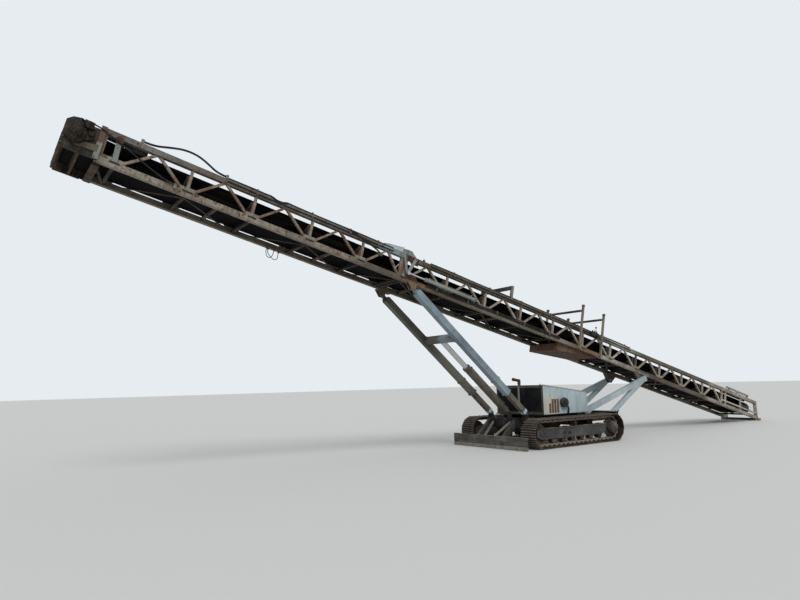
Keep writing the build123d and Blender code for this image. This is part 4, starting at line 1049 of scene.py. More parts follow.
@dataclass
class CarryingSets:
    """Troughed roller sets under the belt, and the flat return rollers."""

    radius: float = 0.05
    flat: float = 0.16
    tilt: float = math.radians(30)
    wing: float = 0.29
    fit: float = 0.0003
    base: float = CHORD_W + CHORD / 2
    cross: float = 0.4965
    foot: float = 0.4845
    return_radius: float = 0.038
    return_half: float = 0.4325
    return_shaft: float = 0.4725

    def _wing_ends(self, u: float, side: int) -> tuple[Vector, ...]:
        """Where one wing roller starts and ends, in the boom's frame.

        Args:
            u: where its set stands.
            side: 1 for the left, -1 for the right.

        Returns:
            Both ends.
        """
        c, s = math.cos(self.tilt), math.sin(self.tilt)
        drop = self.radius + self.fit
        return tuple(Vector((u, side * (self.flat + t * c + drop * s), CARRY_W + t * s - drop * c))
                     for t in (0.010, self.wing - 0.005))

    def _roller(self, shape: Shape, start: Point, end: Point, radius: float) -> None:
        """A roller with rounded rims and a shaft end at each side.

        Args:
            shape: what it is added to.
            start: one end.
            end: the other.
            radius: of the roller.
        """
        shape.rod(start, end, radius, 24, 0.004)
        way = (Vector(end) - Vector(start)).normalized()
        shaft = radius * SHAFT
        shape.rod(Vector(start) - way * 0.007, Vector(start) + way * 0.01, shaft, 12)
        shape.rod(Vector(end) - way * 0.01, Vector(end) + way * 0.007, shaft, 12)

    def _bracket(self, frames: Shape, at: Point, half: float) -> None:
        """A thin upright from the cross bar to a point."""
        u, y, top = at
        frames.box((u - half, y - 0.004, self.base + 0.07), (u + half, y + 0.004, top), 0.0015)

    def _set(self, rollers: Shape, frames: Shape, u: float) -> None:
        """One set of three rollers in its frame.

        Args:
            rollers: gets the rollers.
            frames: gets the frame.
            u: where it stands.
        """
        middle, base = CARRY_W - self.radius - self.fit, self.base
        half = self.flat - 0.006
        self._roller(rollers, (u, -half, middle), (u, half, middle), self.radius)
        frames.box((u - 0.02, -self.cross, base + 0.045), (u + 0.02, self.cross, base + 0.085),
                   0.004)
        for side in (-1, 1):
            a, b = self._wing_ends(u, side)
            self._roller(rollers, a, b, self.radius)
            foot = side * self.foot
            frames.box((u - 0.02, foot - 0.012, base), (u + 0.02, foot + 0.012, base + 0.05), 0.003)
            self._bracket(frames, (u, side * (self.flat + 0.001), middle + 0.012), 0.02)
            self._bracket(frames, (u, b.y + side * 0.003, b.z + 0.012), 0.02)
            # struts lean from the cross bar to the outer brackets
            frames.bar((u, side * 0.27, base + 0.08), (u, b.y, b.z - 0.04), 0.03, 0.008)
            inner = a + (a - b).normalized() * 0.02
            rollers.rod(inner, a, 0.012, 8)
            self._bracket(frames, (u, inner.y, inner.z + 0.01), 0.012)

    def _return(self, shape: Shape, u: float) -> None:
        """One return roller with its shaft and hangers.

        Args:
            shape: what it is added to.
            u: where it stands.
        """
        w = RETURN_W - self.return_radius - self.fit
        half, end = self.return_half, self.return_shaft
        self._roller(shape, (u, -half, w), (u, half, w), self.return_radius)
        shape.rod((u, -end, w), (u, end, w), 0.014, 10)
        for side in (-1, 1):
            shape.box((u - 0.035, side * end - 0.004, w - 0.03), (u + 0.035, side * end, w + 0.03))

    def build(self) -> None:
        """Makes the sets of both sections in place of the plain ones."""
        for part, nodes, bays, body in (
                ("main", MAIN_NODES[:-1], MAIN_NODES[:-1:2], "main_boom"),
                ("head", HEAD_NODES, HEAD_NODES[:-1:2], "head_boom")):
            rollers, frames, flat = Shape(), Shape(), Shape()
            for u in nodes:
                self._set(rollers, frames, u)
            turned = rollers.on_boom(f"carrying_rollers_{part}", Finish.ROLLER, body)
            frame = frames.on_boom(f"roller_frames_{part}", Finish.BRACKET, body)
            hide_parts(f"idlers_{part}")
            for u in bays:
                self._return(flat, u + PITCH / 2)
            flat = flat.on_boom(f"flat_rollers_{part}", Finish.ROLLER, body)
            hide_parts(f"return_rollers_{part}")


@dataclass
class FreeLines:
    """Hoses and cables that lie free on the head section, each by its route in u and w."""

    arch: Profile = ((14.475, .812), (14.310, .812), (14.080, .897), (13.830, .976),
                     (13.580, .977), (13.360, .898), (13.180, .812), (13.015, .812))
    hose: Profile = ((15.300, .733), (15.175, .733), (14.950, .655), (14.640, .535),
                     (14.330, .402), (14.160, .345), (13.960, .276), (13.840, .276))
    upper: Profile = ((11.578, .139), (11.578, .080), (11.545, -.002), (11.507, -.029),
                      (11.460, -.026), (11.428, .012), (11.409, .079), (11.409, .139))
    lower: Profile = ((11.528, .139), (11.528, .100), (11.500, .058), (11.445, .014),
                      (11.385, -.018), (11.334, -.024), (11.296, .002), (11.280, .048),
                      (11.291, .094), (11.291, .139))

    def build(self) -> None:
        """Draws each as a hose line in place of its plain tube."""
        table = (("hose_arch", self.arch, HOSE_Y, 0.019, "stiff", "loose"),
                 ("hose_head", self.hose, 0.606, 0.0125, "stiff", "loose"),
                 ("cable_loop_upper", self.upper, -0.490, 0.007, "limp", "hanging"),
                 ("cable_loop_lower", self.lower, -0.530, 0.007, "limp", "hanging"))
        for node, route, y, radius, stiffness, lay in table:
            points = [boom(u, y, w) for u, w in route]
            line = held_line(f"{node}_line", points, radius)
            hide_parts(node)


@dataclass
class Crawler:
    """Shoes, chain, wheels and trim of the two tracks; drawn on the left, then mirrored."""

    shoes: int = 45
    radius: float = 0.325
    half: float = 0.225
    plate: float = 0.014
    teeth: int = 17
    frame_face: float = TRACK_Y + .11
    slots: Profile = ((0.545, 0.335), (0.345, 0.325))
    link: Profile = ((-.56, .030), (-.48, .014), (-.36, .014), (-.12, .056), (-.04, .056),
                     (.20, .014), (.32, .014), (.46, .026), (.50, .055), (.30, .078),
                     (-.40, .082), (-.58, .058))
    tooth: Profile = ((-.34, .204), (-.24, .212), (-.12, .2405), (.12, .2405), (.24, .212),
                      (.34, .204))
    hub: Profile = ((0, 0), (0, .155), (.02, .155), (.02, .148), (.045, .148), (.045, .155),
                    (.135, .155), (.15, .145), (.152, .124), (.165, .12), (.172, .105), (.173, 0))
    idler: Profile = ((0, 0), (0, .055), (.030, .06), (.036, .085), (.036, .17), (.028, .195),
                      (.010, .21), (.010, .222), (.045, .226), (.045, .2405), (.075, .2405),
                      (.075, .226), (.110, .222), (.110, .21), (.092, .195), (.084, .17),
                      (.084, .085), (.090, .06), (.12, .055), (.12, 0))
    roller: Profile = ((0, 0), (0, .045), (.012, .05), (.014, .064), (.026, .0745), (.062, .0745),
                       (.066, .064), (.114, .064), (.118, .0745), (.154, .0745), (.166, .064),
                       (.168, .05), (.1795, .045), (.1795, 0))
    carrier: Profile = ((0, 0), (0, .03), (.01, .044), (.04, .044), (.046, .036), (.074, .036),
                        (.08, .044), (.11, .044), (.12, .03), (.12, 0))

    @property
    def pitch(self) -> float:
        """Length of one shoe along the loop."""
        return (4 * AXLE_X + 2 * math.pi * self.radius) / self.shoes

    def _place(self, s: float) -> Matrix:
        """Where a point of the loop lies, with its run along the loop.

        Args:
            s: distance along the loop.

        Returns:
            The place.
        """
        straight = 2 * AXLE_X
        half, s = divmod(s, straight + math.pi * self.radius)
        bend = max(0.0, s - straight) / self.radius
        middle = Matrix.Translation((TRACK_X, TRACK_Y, TRACK_H / 2))
        run = Matrix.Translation((min(s, straight) - AXLE_X, 0, 0))
        turned, bent = (Matrix.Rotation(-turn, 4, "Y") for turn in (math.pi * half, bend))
        return middle @ turned @ run @ bent @ Matrix.Translation((0, 0, -self.radius))

    def _places(self) -> list[Matrix]:
        """Where each shoe lies."""
        return [self._place((k + 0.5) * self.pitch) for k in range(self.shoes)]

    def _shoes(self) -> Shape:
        """All shoes of one track: rolled plates that overlap, four bolts each."""
        shape, pitch, top = Shape(), self.pitch, self.plate
        a, b = -pitch * 0.485, pitch * 0.47
        outline = [(a, .003), (a + .012, top), (b, top), (b + .010, .004), (b, 0.0), (a, 0.0)]
        for place in self._places():
            shape.plate(outline, -self.half, self.half, 0.0, place)
            for x in (-pitch * 0.17, pitch * 0.17):
                for y in (-.075, .075):
                    shape.rod(place @ Vector((x, y, 0)), place @ Vector((x, y, -.011)), .011, 6)
        return shape

    def _grousers(self) -> Shape:
        """Three worn ribs on every shoe of one track, the leading one higher."""
        shape, half = Shape(), self.half - .001
        for place in self._places():
            for share, high, wide in ((.33, .020, .011), (0, .020, .011), (-.33, .0245, .012)):
                at = self.pitch * share
                outline = [(at + wide, .001), (at + wide * .5, -high), (at - wide * .5, -high),
                           (at - wide, .001)]
                shape.plate(outline, -half, half, 0.0, place)
        return shape

    def _chain(self) -> Shape:
        """Links and pins inside the shoes."""
        shape, pitch = Shape(), self.pitch
        outline = [(pitch * x, z) for x, z in self.link]
        for k, place in enumerate(self._places()):
            side = .012 if k % 2 else .010
            for y in (-.052, .052):
                shape.plate(outline, y - side, y + side, .003, place)
            shape.rod(*(place @ Vector((pitch * .5, y, .050)) for y in (-.065, .065)), .017, 10)
        return shape

    def _sprocket(self, shape: Shape) -> None:
        """Toothed wheel with a drive hub that stands out.

        Args:
            shape: what it is added to.
        """
        x, z = TRACK_X - AXLE_X, TRACK_H / 2
        outline = []
        for k in range(self.teeth):
            for share, radius in self.tooth:
                t = 2 * math.pi * (k + share) / self.teeth
                outline.append((x + radius * math.cos(t), z + radius * math.sin(t)))
        shape.plate(outline, TRACK_Y - .026, TRACK_Y + .026, .003)
        shape.lathe(self.hub, (x, TRACK_Y + .02, z), LEFT, 36)
        shape.bolts(circle((x, TRACK_Y + .168, z), .134, spaced(14)), LEFT, .009, .012)
        for start, end in zip(circle((x, TRACK_Y + .19, z), .07, spaced(3, .5)),
                              circle((x, TRACK_Y + .199, z), .07, spaced(3, .5))):
            shape.rod(start, end, .013, 10)

    def _wheels(self) -> Shape:
        """Sprocket, idler, lower rollers and the carrier roller."""
        shape = Shape()
        self._sprocket(shape)
        x, z = TRACK_X + AXLE_X, TRACK_H / 2
        shape.lathe(self.idler, (x, TRACK_Y - .06, z), LEFT, 40)
        shape.rod((x, TRACK_Y - .1, z), (x, TRACK_Y + .1, z), .0395, 20)
        for at in ROLLER_X:
            shape.lathe(self.roller, (at, TRACK_Y - .0897, ROLLER_Z), LEFT, 20)
        top = TRACK_H / 2 + WHEEL_R - .045
        return shape.lathe(self.carrier, (TRACK_X + .06, TRACK_Y - .06, top), LEFT, 16)

    def _frame_trim(self) -> Shape:
        """Slots with rims, roller pins and bolts on the track frame's side plate."""
        shape, y = Shape(), self.frame_face
        for at in ROLLER_X:
            shape.lathe([(0, 0), (0, .03), (.012, .03), (.018, .022), (.018, 0)],
                        (at, y, ROLLER_Z + .055), LEFT, 14)
        for at, z in self.slots:
            x = TRACK_X + at
            shape.box((x - .055, y, z - .03), (x + .055, y + .006, z + .03), .002)
        shape.bolts([(TRACK_X + x, y, z) for x in (1.13, 1.27) for z in (.27, .42)],
                    LEFT, .013, .012)
        shape.lathe([(0, 0), (0, .055), (.008, .055), (.014, .045), (.014, .03), (.02, .025),
                     (.02, 0)], (TRACK_X + AXLE_X, y, .35), LEFT, 20)
        for x in (-.76, .64):
            shape.bolts([(TRACK_X + x + dx, TRACK_Y - .135, .465) for dx in (-.06, 0, .06)],
                        UP, .014, .014)
        return shape

    def _dark_slots(self) -> Shape:
        """Dark sheets in the openings behind the slot rims and in one round hole: painted shade."""
        shape, y = Shape(), self.frame_face + .0055
        for at, z in self.slots:
            x = TRACK_X + at
            shape.box((x - .044, y, z - .02), (x + .044, y + .0012, z + .02))
        x = TRACK_X + 1.235
        return shape.rod((x, y - .006, .35), (x, y - .0045, .35), .024, 14)

    def _ledge(self) -> Shape:
        """Caked dirt along the top of the track frame."""
        shape = Shape().box((TRACK_X - 1.06, TRACK_Y - .13, .452),
                            (TRACK_X + 1.30, TRACK_Y + .13, .462), .004)
        for x in (TRACK_X + at for at in (-1.0, -.35, .3, .95)):
            shape.plate([(x - .12, .46), (x + .14, .46), (x + .05, .478), (x - .06, .474)],
                        TRACK_Y - .08, TRACK_Y + .1, .002)
        return shape

    def build(self) -> None:
        """Makes both sides."""
        for make, name, finish, nodes in (
                (self._shoes, "track_shoes", Finish.TRACK, ("track_left", "track_right")),
                (self._grousers, "track_grousers", Finish.GROUSER, ()),
                (self._chain, "track_chains", Finish.CHAIN, ()),
                (self._wheels, "track_rollers", Finish.WHEEL,
                 ("track_wheels_left", "track_wheels_right")),
                (self._frame_trim, "track_frame_trim", Finish.UNDERCARRIAGE, ()),
                (self._ledge, "track_frame_ledges", Finish.LEDGE, ()),
                (self._dark_slots, "track_frame_slots", Finish.SHADOW, ())):
            piece = make().mirrored().piece(name, finish)
            if nodes:
                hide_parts(*nodes)


@dataclass
class PowerPack:
    """Louvres, seams, frames and fittings of the engine housing."""

    x0: float = TRACK_X - .86
    x1: float = TRACK_X + .82
    half: float = .8
    deck: float = .758
    front: float = 1.48
    rear: float = 1.262
    slot_top: float = 1.125
    panel_in: float = .0183

    @property
    def lean(self) -> float:
        """Rise of the roof by length."""
        return (self.front - self.rear) / (self.x1 - self.x0)

    def _roof(self, x: float) -> float:
        """Height of the sloping roof."""
        return self.rear + (x - self.x0) * self.lean

    def _louvres(self) -> None:
        """Bent blades behind the four side slots, rusted through."""
        blades, rims, y = Shape(), Shape(), self.half
        for k in range(4):
            x = TRACK_X + .265 + k * .095
            top = self.slot_top if k < 3 else 1.02
            blades.box((x - .008, y - .012, .79), (x + .063, y + .008, top), .004)
            blades.box((x + .004, y + .007, .81), (x + .051, y + .0125, top - .02), .003)
            if k == 3:
                rims.box((x - .008, y - .002, top), (x + .063, y + .004, self.slot_top), .001)
            rims.box((x - .010, y, top), (x + .065, y + .014, top + .006), .002)
        blades.piece("louvre_blades", Finish.RUST_BAR)
        rims.piece("louvre_rims", Finish.PACK)

    def _skin(self) -> None:
        """Folded roof edges, seams, rivets, lifting eyes and the deck's kick edge."""
        shape, deck, half = Shape(), self.deck, self.half
        for side in (-1, 1):
            y = side * half
            shape.bar((self.x0 - .004, y, self._roof(self.x0) + .003),
                      (self.x1 + .004, y, self.front + .003), .022, .022, .004)
            for x in (self.x0 + .42, self.x0 + 1.02):
                top = self._roof(x) - .02
                shape.box((x - .002, y - .001, deck + .02), (x + .002, y + .0015, top))
                shape.bolts([(x + dx, y, deck + .06 + k * .11) for dx in (-.012, .012)
                             for k in range(4)], (0, side, 0), .0035, .003)
        for x in (self.x0 + .28, self.x0 + .84, self.x0 + 1.4):
            z = self._roof(x) + .001
            shape.bar((x - .012, 0, z), (x + .012, 0, z + .024 * self.lean), 2 * half, .006)
        for x in (self.x0 + .12, self.x1 - .12):
            z = self._roof(x)
            for y in (-.62, .62):
                shape.plate([(x - .035, z - .004), (x + .035, z - .004), (x + .018, z + .045),
                             (x - .018, z + .045)], y - .006, y + .006, .002)
        shape.box((self.x1 + .002, -half - .008, deck), (self.x1 + .010, half + .008, deck + .035),
                  .002)
        shape.piece("housing_seams", Finish.PACK)

    def _front(self) -> None:
        """Rims round the dark panels, their hinges and latches, and the post between them."""
        rims, dark, x = Shape(), Shape(), self.x1
        z0, z1, face = self.deck + .05, self.front - .06, x - self.panel_in
        for y0, y1 in ((-.755, -.022), (.022, .755)):
            for low, high in rim(y0 - .012, z0 - .012, y1 + .012, z1 + .012, .024, .012):
                rims.box((x - .004, *low), (x + .006, *high), .002)
            dark.box((face, y0 + .02, z0 + .28), (face + .006, y1 - .02, z0 + .288), .002)
            edge = y0 + .06 if y0 < 0 else y1 - .06
            for z in (z0 + .12, z0 + .48):
                dark.rod((face + .006, edge, z - .04), (face + .006, edge, z + .04), .009, 10)
                dark.box((face, edge - .03, z - .035), (face + .004, edge + .03, z + .035), .001)
            middle, z = (y0 + y1) / 2, z0 + .40
            dark.lathe([(0, 0), (0, .02), (.006, .02), (.010, .012), (.022, .010), (.024, 0)],
                       (face, middle, z), FRONT, 14)
            dark.bar((face + .016, middle - .012, z), (face + .016, middle + .055, z - .015),
                     .012, .008, .002)
            dark.bolts([(face, y, z) for y in (y0 + .03, y1 - .03) for z in (z0 + .04, z1 - .04)],
                       FRONT, .007, .006)
        rims.piece("front_frames", Finish.PACK_RIM)
        foot = self.deck + .032
        post = Shape().box((x - .004, -.026, foot - .002), (x + .012, .026, self.front - .02), .003)
        post.box((x - .004, -.05, foot - .012), (x + .020, .05, foot), .002)
        post.bolts([(x + .012, 0, z0 + .04 + k * .145) for k in range(5)], FRONT, .008, .007)
        post.bolts([(x + .012, y, foot) for y in (-.04, .04)], UP, .006, .006)
        post.piece("front_post", Finish.POST)
        dark.piece("front_fittings", Finish.PANEL)

    def _filter(self) -> None:
        """Ribbed air filter can with its bands, cap and the hose down to the deck."""
        at = x, y, z = TRACK_X + .11, self.half, self.deck + .27
        can, band = Shape(), Shape()
        ribs = [(.001, 0), (.001, .108)]
        for k in range(5):
            ribs += [(d + k * .018, r)
                     for d, r in ((.012, .108), (.015, .113), (.021, .113), (.024, .108))]
        ribs += [(.106, .108), (.118, .10), (.119, .062), (.128, .058), (.143, .052), (.1445, 0)]
        can.lathe(ribs, at, LEFT, 36)
        can.box((x - .012, y + .04, z + .105), (x + .012, y + .075, z + .13), .003)
        piece = can.piece("air_filter_can", Finish.PLASTIC)
        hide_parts("air_filter")
        for start in (.03, .09):
            band.ring(at, LEFT, start, start + .012, .109, .117, 30)
        band.piece("air_filter_bands", Finish.BOLT)
        route = ((-.085, .05, -.06), (-.14, .055, -.10), (-.165, .05, -.17), (-.175, .03, -.24),
                 (-.175, .012, -.262))
        held_line("air_filter_hose", [(x + a, y + b, z + c) for a, b, c in route], .022,
                  "chassis", 4)

    def _exhaust(self) -> None:
        """Flange and clamps of the exhaust."""
        shape = Shape()
        x, y = TRACK_X + .56, -.22
        roof = self._roof(x)
        shape.lathe([(-.002, .03), (-.002, .075), (.012, .075), (.014, .05), (.026, .044),
                     (.03, .03)], (x, y, roof), UP, 24)
        shape.bolts([(x + .06 * math.cos(t), y + .06 * math.sin(t), roof + .010)
                     for t in (.6, 2.2, 3.8, 5.4)], UP, .007, .008)
        shape.ring((x, y, roof + .08), UP, 0, .022, .037, .047)
        for at in (.03, .215):
            shape.ring((x - .02, y, roof + .147), (.25, 0, .043), at, at + .014, .036, .044)
        shape.piece("exhaust_fittings", Finish.EXHAUST)

    def _roof_fittings(self) -> None:
        """Filler cap on the roof and the rear wall's vents."""
        shape, x = Shape(), self.x0 + .35
        shape.lathe([(-.004, 0), (-.004, .05), (.02, .05), (.024, .058), (.045, .058),
                     (.052, .05), (.054, 0)], (x, .35, self._roof(x)), UP, 24)
        for k in range(7):
            z = self.deck + .12 + k * .045
            shape.box((self.x0 - .010, -.45, z), (self.x0 - .001, .45, z + .018), .003)
        shape.piece("roof_fittings", Finish.PACK)

    def _door(self) -> None:
        """Vents, handle and pressed rim of the service door on the right."""
        shape, grip, y = Shape(), Shape(), -self.half
        x0, x1, z0, z1 = TRACK_X - .60, TRACK_X + .54, .83, 1.215
        for low, high in rim(x0, z0, x1, z1, .015):
            shape.box((low[0], y - .005, low[1]), (high[0], y, high[1]), .0015)
        for k in range(9):
            z = z0 + .06 + k * .032
            shape.box((x1 - .42, y - .007, z), (x1 - .12, y, z + .012), .002)
        shape.piece("door_trim", Finish.PACK, "door")
        grip.lathe([(0, 0), (0, .024), (.007, .024), (.010, .014), (.022, .012), (.022, 0)],
                   (x0 + .10, y, 1.02), (0, -1, 0), 16)
        grip.bar((x0 + .09, y - .018, 1.02), (x0 + .18, y - .018, 1.005), .012, .014, .003)
        grip.piece("door_handle", Finish.PLASTIC, "door")

    def build(self) -> None:
        """Makes everything."""
        for make in (self._louvres, self._skin, self._front, self._filter, self._exhaust,
                     self._roof_fittings, self._door):
            make()


@dataclass
class HeadEnd:
    """Drive, bearings, scraper, guards and bolts of the discharge end."""

    side: float = .5845
    post: float = .5925
    rail: float = .612
    stalk_u: float = 14.836
    unit: Profile = ((.0203, 0), (.0203, .163), (.042, .163), (.044, .147), (.075, .147),
                     (.078, .15), (.098, .15), (.101, .144), (.135, .144), (.150, .132),
                     (.168, .128), (.170, .078), (.20, .078), (.205, .07), (.235, .07),
                     (.238, .079), (.262, .079), (.266, .066), (.318, .062), (.329, .05), (.329, 0))
    case: Profile = ((15.20, .47), (15.25, .43), (15.52, .345), (15.61, .37), (15.625, .52),
                     (15.58, .60), (15.42, .615), (15.40, .735), (15.34, .735), (15.28, .70),
                     (15.20, .60))
    case_bolts: Profile = ((15.225, .60), (15.30, .71), (15.385, .70), (15.60, .45),
                           (15.595, .39), (15.25, .455))
    edge_roller: Profile = ((0, 0), (0, .066), (.003, .071), (.013, .071), (.016, .066),
                            (.016, .048), (.012, .044), (.012, .02), (.018, .016), (.018, 0))
    short_hose: Profile = ((14.50, .74), (14.57, .745), (14.66, .715), (14.74, .64),
                           (14.80, .55), (14.85, .45), (14.87, .36), (14.87, .275))

    def _drive(self) -> None:
        """Drive housing with flange bolts and hose ports, in place of the plain one."""
        shape, up = Shape(), boom(0, 0, 1) - boom(0, 0, 0)
        shape.lathe(self.unit, boom(HEAD_DRUM, SIDE, HEAD_DRUM_W), LEFT, 40)
        for radius, out, count, size, high in ((.157, .041, 14, .0075, .010),
                                               (.105, .168, 10, .009, .012)):
            spots = circle((HEAD_DRUM, SIDE + out, HEAD_DRUM_W), radius, spaced(count))
            shape.bolts([boom(*spot) for spot in spots], LEFT, size, high)
        for out in (.215, .29):
            shape.port(boom(HEAD_DRUM, SIDE + out, HEAD_DRUM_W), up, .05, .098, .112, .018, .022)
        piece = shape.piece("drive_unit", Finish.MOTOR, "head_boom")
        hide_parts("drive_motor")
        self._gear_case()
        for k, (u, y, w, out, bend) in enumerate(((15.385, .07, .66, .215, .18),
                                                  (15.36, .045, .70, .29, .24))):
            top = boom(HEAD_DRUM, SIDE + out, HEAD_DRUM_W + .11)
            route = [top, top + up * .05, boom(HEAD_DRUM - .01, SIDE + bend, .66),
                     boom(u + .03, SIDE + y + .05, .69), boom(u, SIDE + y, w)]
            held_line(f"drive_hose_{k}", route, .012)

    def _gear_case(self) -> None:
        """Case between the drive and the side plate, with its blocks, ribs and bolts."""
        case, near = Shape(), SIDE + .06
        case.plate(self.case, SIDE + .0205, SIDE + .065, .008)
        for u0, u1, w0, w1, out, bevel in ((15.25, 15.40, .60, .72, .135, .008),
                                           (15.215, 15.30, .50, .585, .10, .006),
                                           (15.53, 15.60, .50, .585, .12, .006)):
            case.box((u0, near, w0), (u1, SIDE + out, w1), bevel)
        for k in range(5):
            u = 15.262 + k * .028
            case.box((u, SIDE + .13, .61), (u + .010, SIDE + .150, .71), .002)
        case.bolts([(u, SIDE + .065, w) for u, w in self.case_bolts], LEFT, .009, .012)
        case.on_boom("gear_case", Finish.MOTOR)

    def _plates(self) -> None:
        """Edges, bearing housings, rails and rows of bolts on the side plates."""
        plates, bolts, rails, posts = Shape(), Shape(), Shape(), Shape()
        for side in (-1, 1):
            out = (0, side, 0)
            y0, y1, y2 = (side * y for y in (self.side, self.post, self.rail))
            posts.box((15.055, y0, .19), (15.145, y1, .785), .003)
            plates.box((15.17, y0, .168), (15.60, y2, .182), .003)
            if side < 0:
                for radius, depth in ((.11, .035), (.075, .06), (.038, .075)):
                    plates.rod((HEAD_DRUM, y0, HEAD_DRUM_W), (HEAD_DRUM, y0 - depth, HEAD_DRUM_W),
                               radius, 28, .004)
                spots = circle((HEAD_DRUM, y0 - .035, HEAD_DRUM_W), .092, (.78, 2.36, 3.93, 5.5))
                bolts.bolts(spots, out, .010, .012)
            bolts.bolts([(15.125, y1, w) for w in (.22, .32, .42, .52, .62)], out, .010, .010)
            bolts.bolts([(u, y0, w) for u, w in ((15.22, .68), (15.62, .25), (15.62, .36))],
                        out, .011, .011)
            foot = min(y0, y2)
            rails.plate([(15.10, .315), (15.10, .43), (15.30, .40), (15.44, .345), (15.46, .31),
                         (15.42, .285)], foot, foot + .012, .003)
            rails.box((15.16, y0, .296), (15.42, y2, .312), .002)
        plates.box((15.085, .52, .60), (15.20, .58, .66), .004)
        plates.on_boom("head_stiffeners", Finish.HEAD_PLATE)
        bolts.on_boom("head_bolts", Finish.BOLT)
        rails.on_boom("bearing_rails", Finish.KHAKI)
        posts.on_boom("end_posts", Finish.END_POST)

    def _scraper(self) -> None:
        """Belt scrapers below the drum with their bars, and rubber skirts at the transition."""
        blade, rubber = Shape(), Shape()
        centre = Vector((HEAD_DRUM, 0, HEAD_DRUM_W))
        for angle, size in ((-1.05, .012), (-2.0, .010)):
            out = Vector((math.cos(angle), 0, math.sin(angle)))
            base = centre + out * .30
            for k in range(6):
                y = Vector((0, -.35 + k * .14, 0))
                blade.bar(centre + out * .185 + y, base + y, .13, size, .002)
            blade.rod(base - Vector((0, SIDE, 0)), base + Vector((0, SIDE, 0)), .024, 16)
        blade.on_boom("belt_scraper", Finish.RUSTY)
        for side in (-1, 1):
            rubber.bar((14.35, side * .425, .665), (15.05, side * .44, .70), .01, .12, .002)
        rubber.on_boom("head_skirts", Finish.PLASTIC)

    def _guide(self) -> None:
        """Rollers on stalks at the belt's edges, and the short hose beside the near one."""
        shape, stalk, u = Shape(), Shape(), self.stalk_u
        for side in (-1, 1):
            face = side * .5728
            shape.lathe(self.edge_roller, (u, face, .655), (0, side, 0), 28)
            y = face + side * .004
            stalk.bar((u, y, .60), (u - .024, y, .268), .008, .085, .002)
            stalk.rod((u - .006, y + side * .004, .52), (u - .006, y + side * .009, .52), .014, 8)
        shape.on_boom("edge_rollers", Finish.RUSTY)
        stalk.on_boom("edge_roller_stalks", Finish.POST)
        held_line("head_short_hose", [boom(u, .455, w) for u, w in self.short_hose], .016)
        clip = Shape().box((14.845, .433, .265), (14.895, .477, .30), .004)
        clip.box((14.48, .437, .722), (14.53, .4725, .76), .004)
        clip.box((14.63, .437, .700), (14.67, .4725, .735), .004)
        clip.on_boom("short_hose_clamps", Finish.BOLT)

    def build(self) -> None:
        """Makes everything."""
        for make in (self._drive, self._plates, self._scraper, self._guide):
            make()


@dataclass
class TailEnd:
    """Take-up screws, guards, skirts and bolts of the loading end."""

    drum_w: float = .4413
    screw_y: float = .535
    skirt_w: float = .74

    def build(self) -> None:
        """Makes everything."""
        screws, plates, rubber, bolts = Shape(), Shape(), Shape(), Shape()
        drum, skirt = self.drum_w, self.skirt_w
        for side in (-1, 1):
            y, out = side * self.screw_y, (0, side, 0)
            screws.rod((-6.34, y, drum), (-5.92, y, drum), .013, 12)
            for u in (-6.02, -5.96):
                screws.rod((u - .012, y, drum), (u + .012, y, drum), .026, 6)
            plates.box((-5.965, y - .028, drum - .05), (-5.945, y + .028, drum + .05), .003)
            for u in (-6.48, -6.38):
                bolts.bolts([(u, side * .56, drum + dw) for dw in (-.045, .045)], out, .011, .012)
            rubber.bar((-6.3, side * .44, skirt), (-4.65, side * .44, skirt), .010, .20, .002)
            plates.bar((-6.32, side * .452, .80), (-4.62, side * .452, .80), .012, .05, .002)
            bolts.bolts([(-6.2 + k * .19, side * .458, .80) for k in range(9)], out, .009, .010)
            for u in (-6.1 + k * .42 for k in range(4)):
                plates.bar((u, side * .455, .79), (u, side * .50, skirt), .012, .03, .002)
        plates.on_boom("tail_plates", Finish.BRACKET, "main_boom")
        screws.on_boom("take_up_screws", Finish.BOLT, "main_boom")
        rubber.on_boom("tail_skirts", Finish.PLASTIC, "main_boom")
        bolts.on_boom("tail_bolts", Finish.BOLT, "main_boom")


@dataclass
class Lattice:
    """Weld beads, bolted flanges and wear plates of the boom's sides."""

    beads: Sequence[Point] = ((-.055, .273, -.6), (.055, .273, .6), (0.0, .673, 0.0))
    flange_y: float = .4725
    wear: float = SIDE + .011

    def build(self) -> None:
        """Makes the trim of both sections."""
        for part, nodes, end in (("main", MAIN_NODES, 8.81), ("head", HEAD_NODES, 8.905)):
            welds, bolts, straps, body = Shape(), Shape(), Shape(), f"{part}_boom"
            for side in (-1, 1):
                for u in nodes:
                    for du, w, lean in self.beads:
                        a = Vector((u + du - .03, side * .5455, w))
                        welds.rod(a, a + Vector((.06, 0, lean * .02)), .006, 6)
                    straps.box((u - .085, side * SIDE, .232),
                               (u + .085, side * (SIDE + .004), .262), .001)
                bolts.bolts([(end, side * self.flange_y, w) for w in (.20, .30, .62, .74)],
                            (0, -side, 0), .013, .013)
            if part == "main":
                self._pivot_plates()
            welds.on_boom(f"weld_beads_{part}", Finish.BRACKET, body)
            straps.on_boom(f"node_straps_{part}", Finish.LACES, body)
            bolts.on_boom(f"flange_bolts_{part}", Finish.BOLT, body)

    def _pivot_plates(self) -> None:
        """Slotted wear plates on the bottom chords over the lift pivot, with painted shade in the
        slots.
        """
        shape, slots = Shape(), Shape()
        for side in (-1, 1):
            y = side * self.wear
            shape.box((-.32, side * SIDE, .150), (.185, y, .208), .002)
            for u in (-.265 + k * .052 for k in range(8)):
                # each slot is a dark box on the plate: painted shade
                slots.box((u, y - side * .0006, .158), (u + .020, y + side * .0008, .200), .0004)
            shape.bolts([(u, y, .18) for u in (-.30, .165)], (0, side, 0), .009, .009)
        shape.on_boom("pivot_plates", Finish.POST, "main_boom")
        slots.on_boom("pivot_plate_slots", Finish.SHADOW, "main_boom")


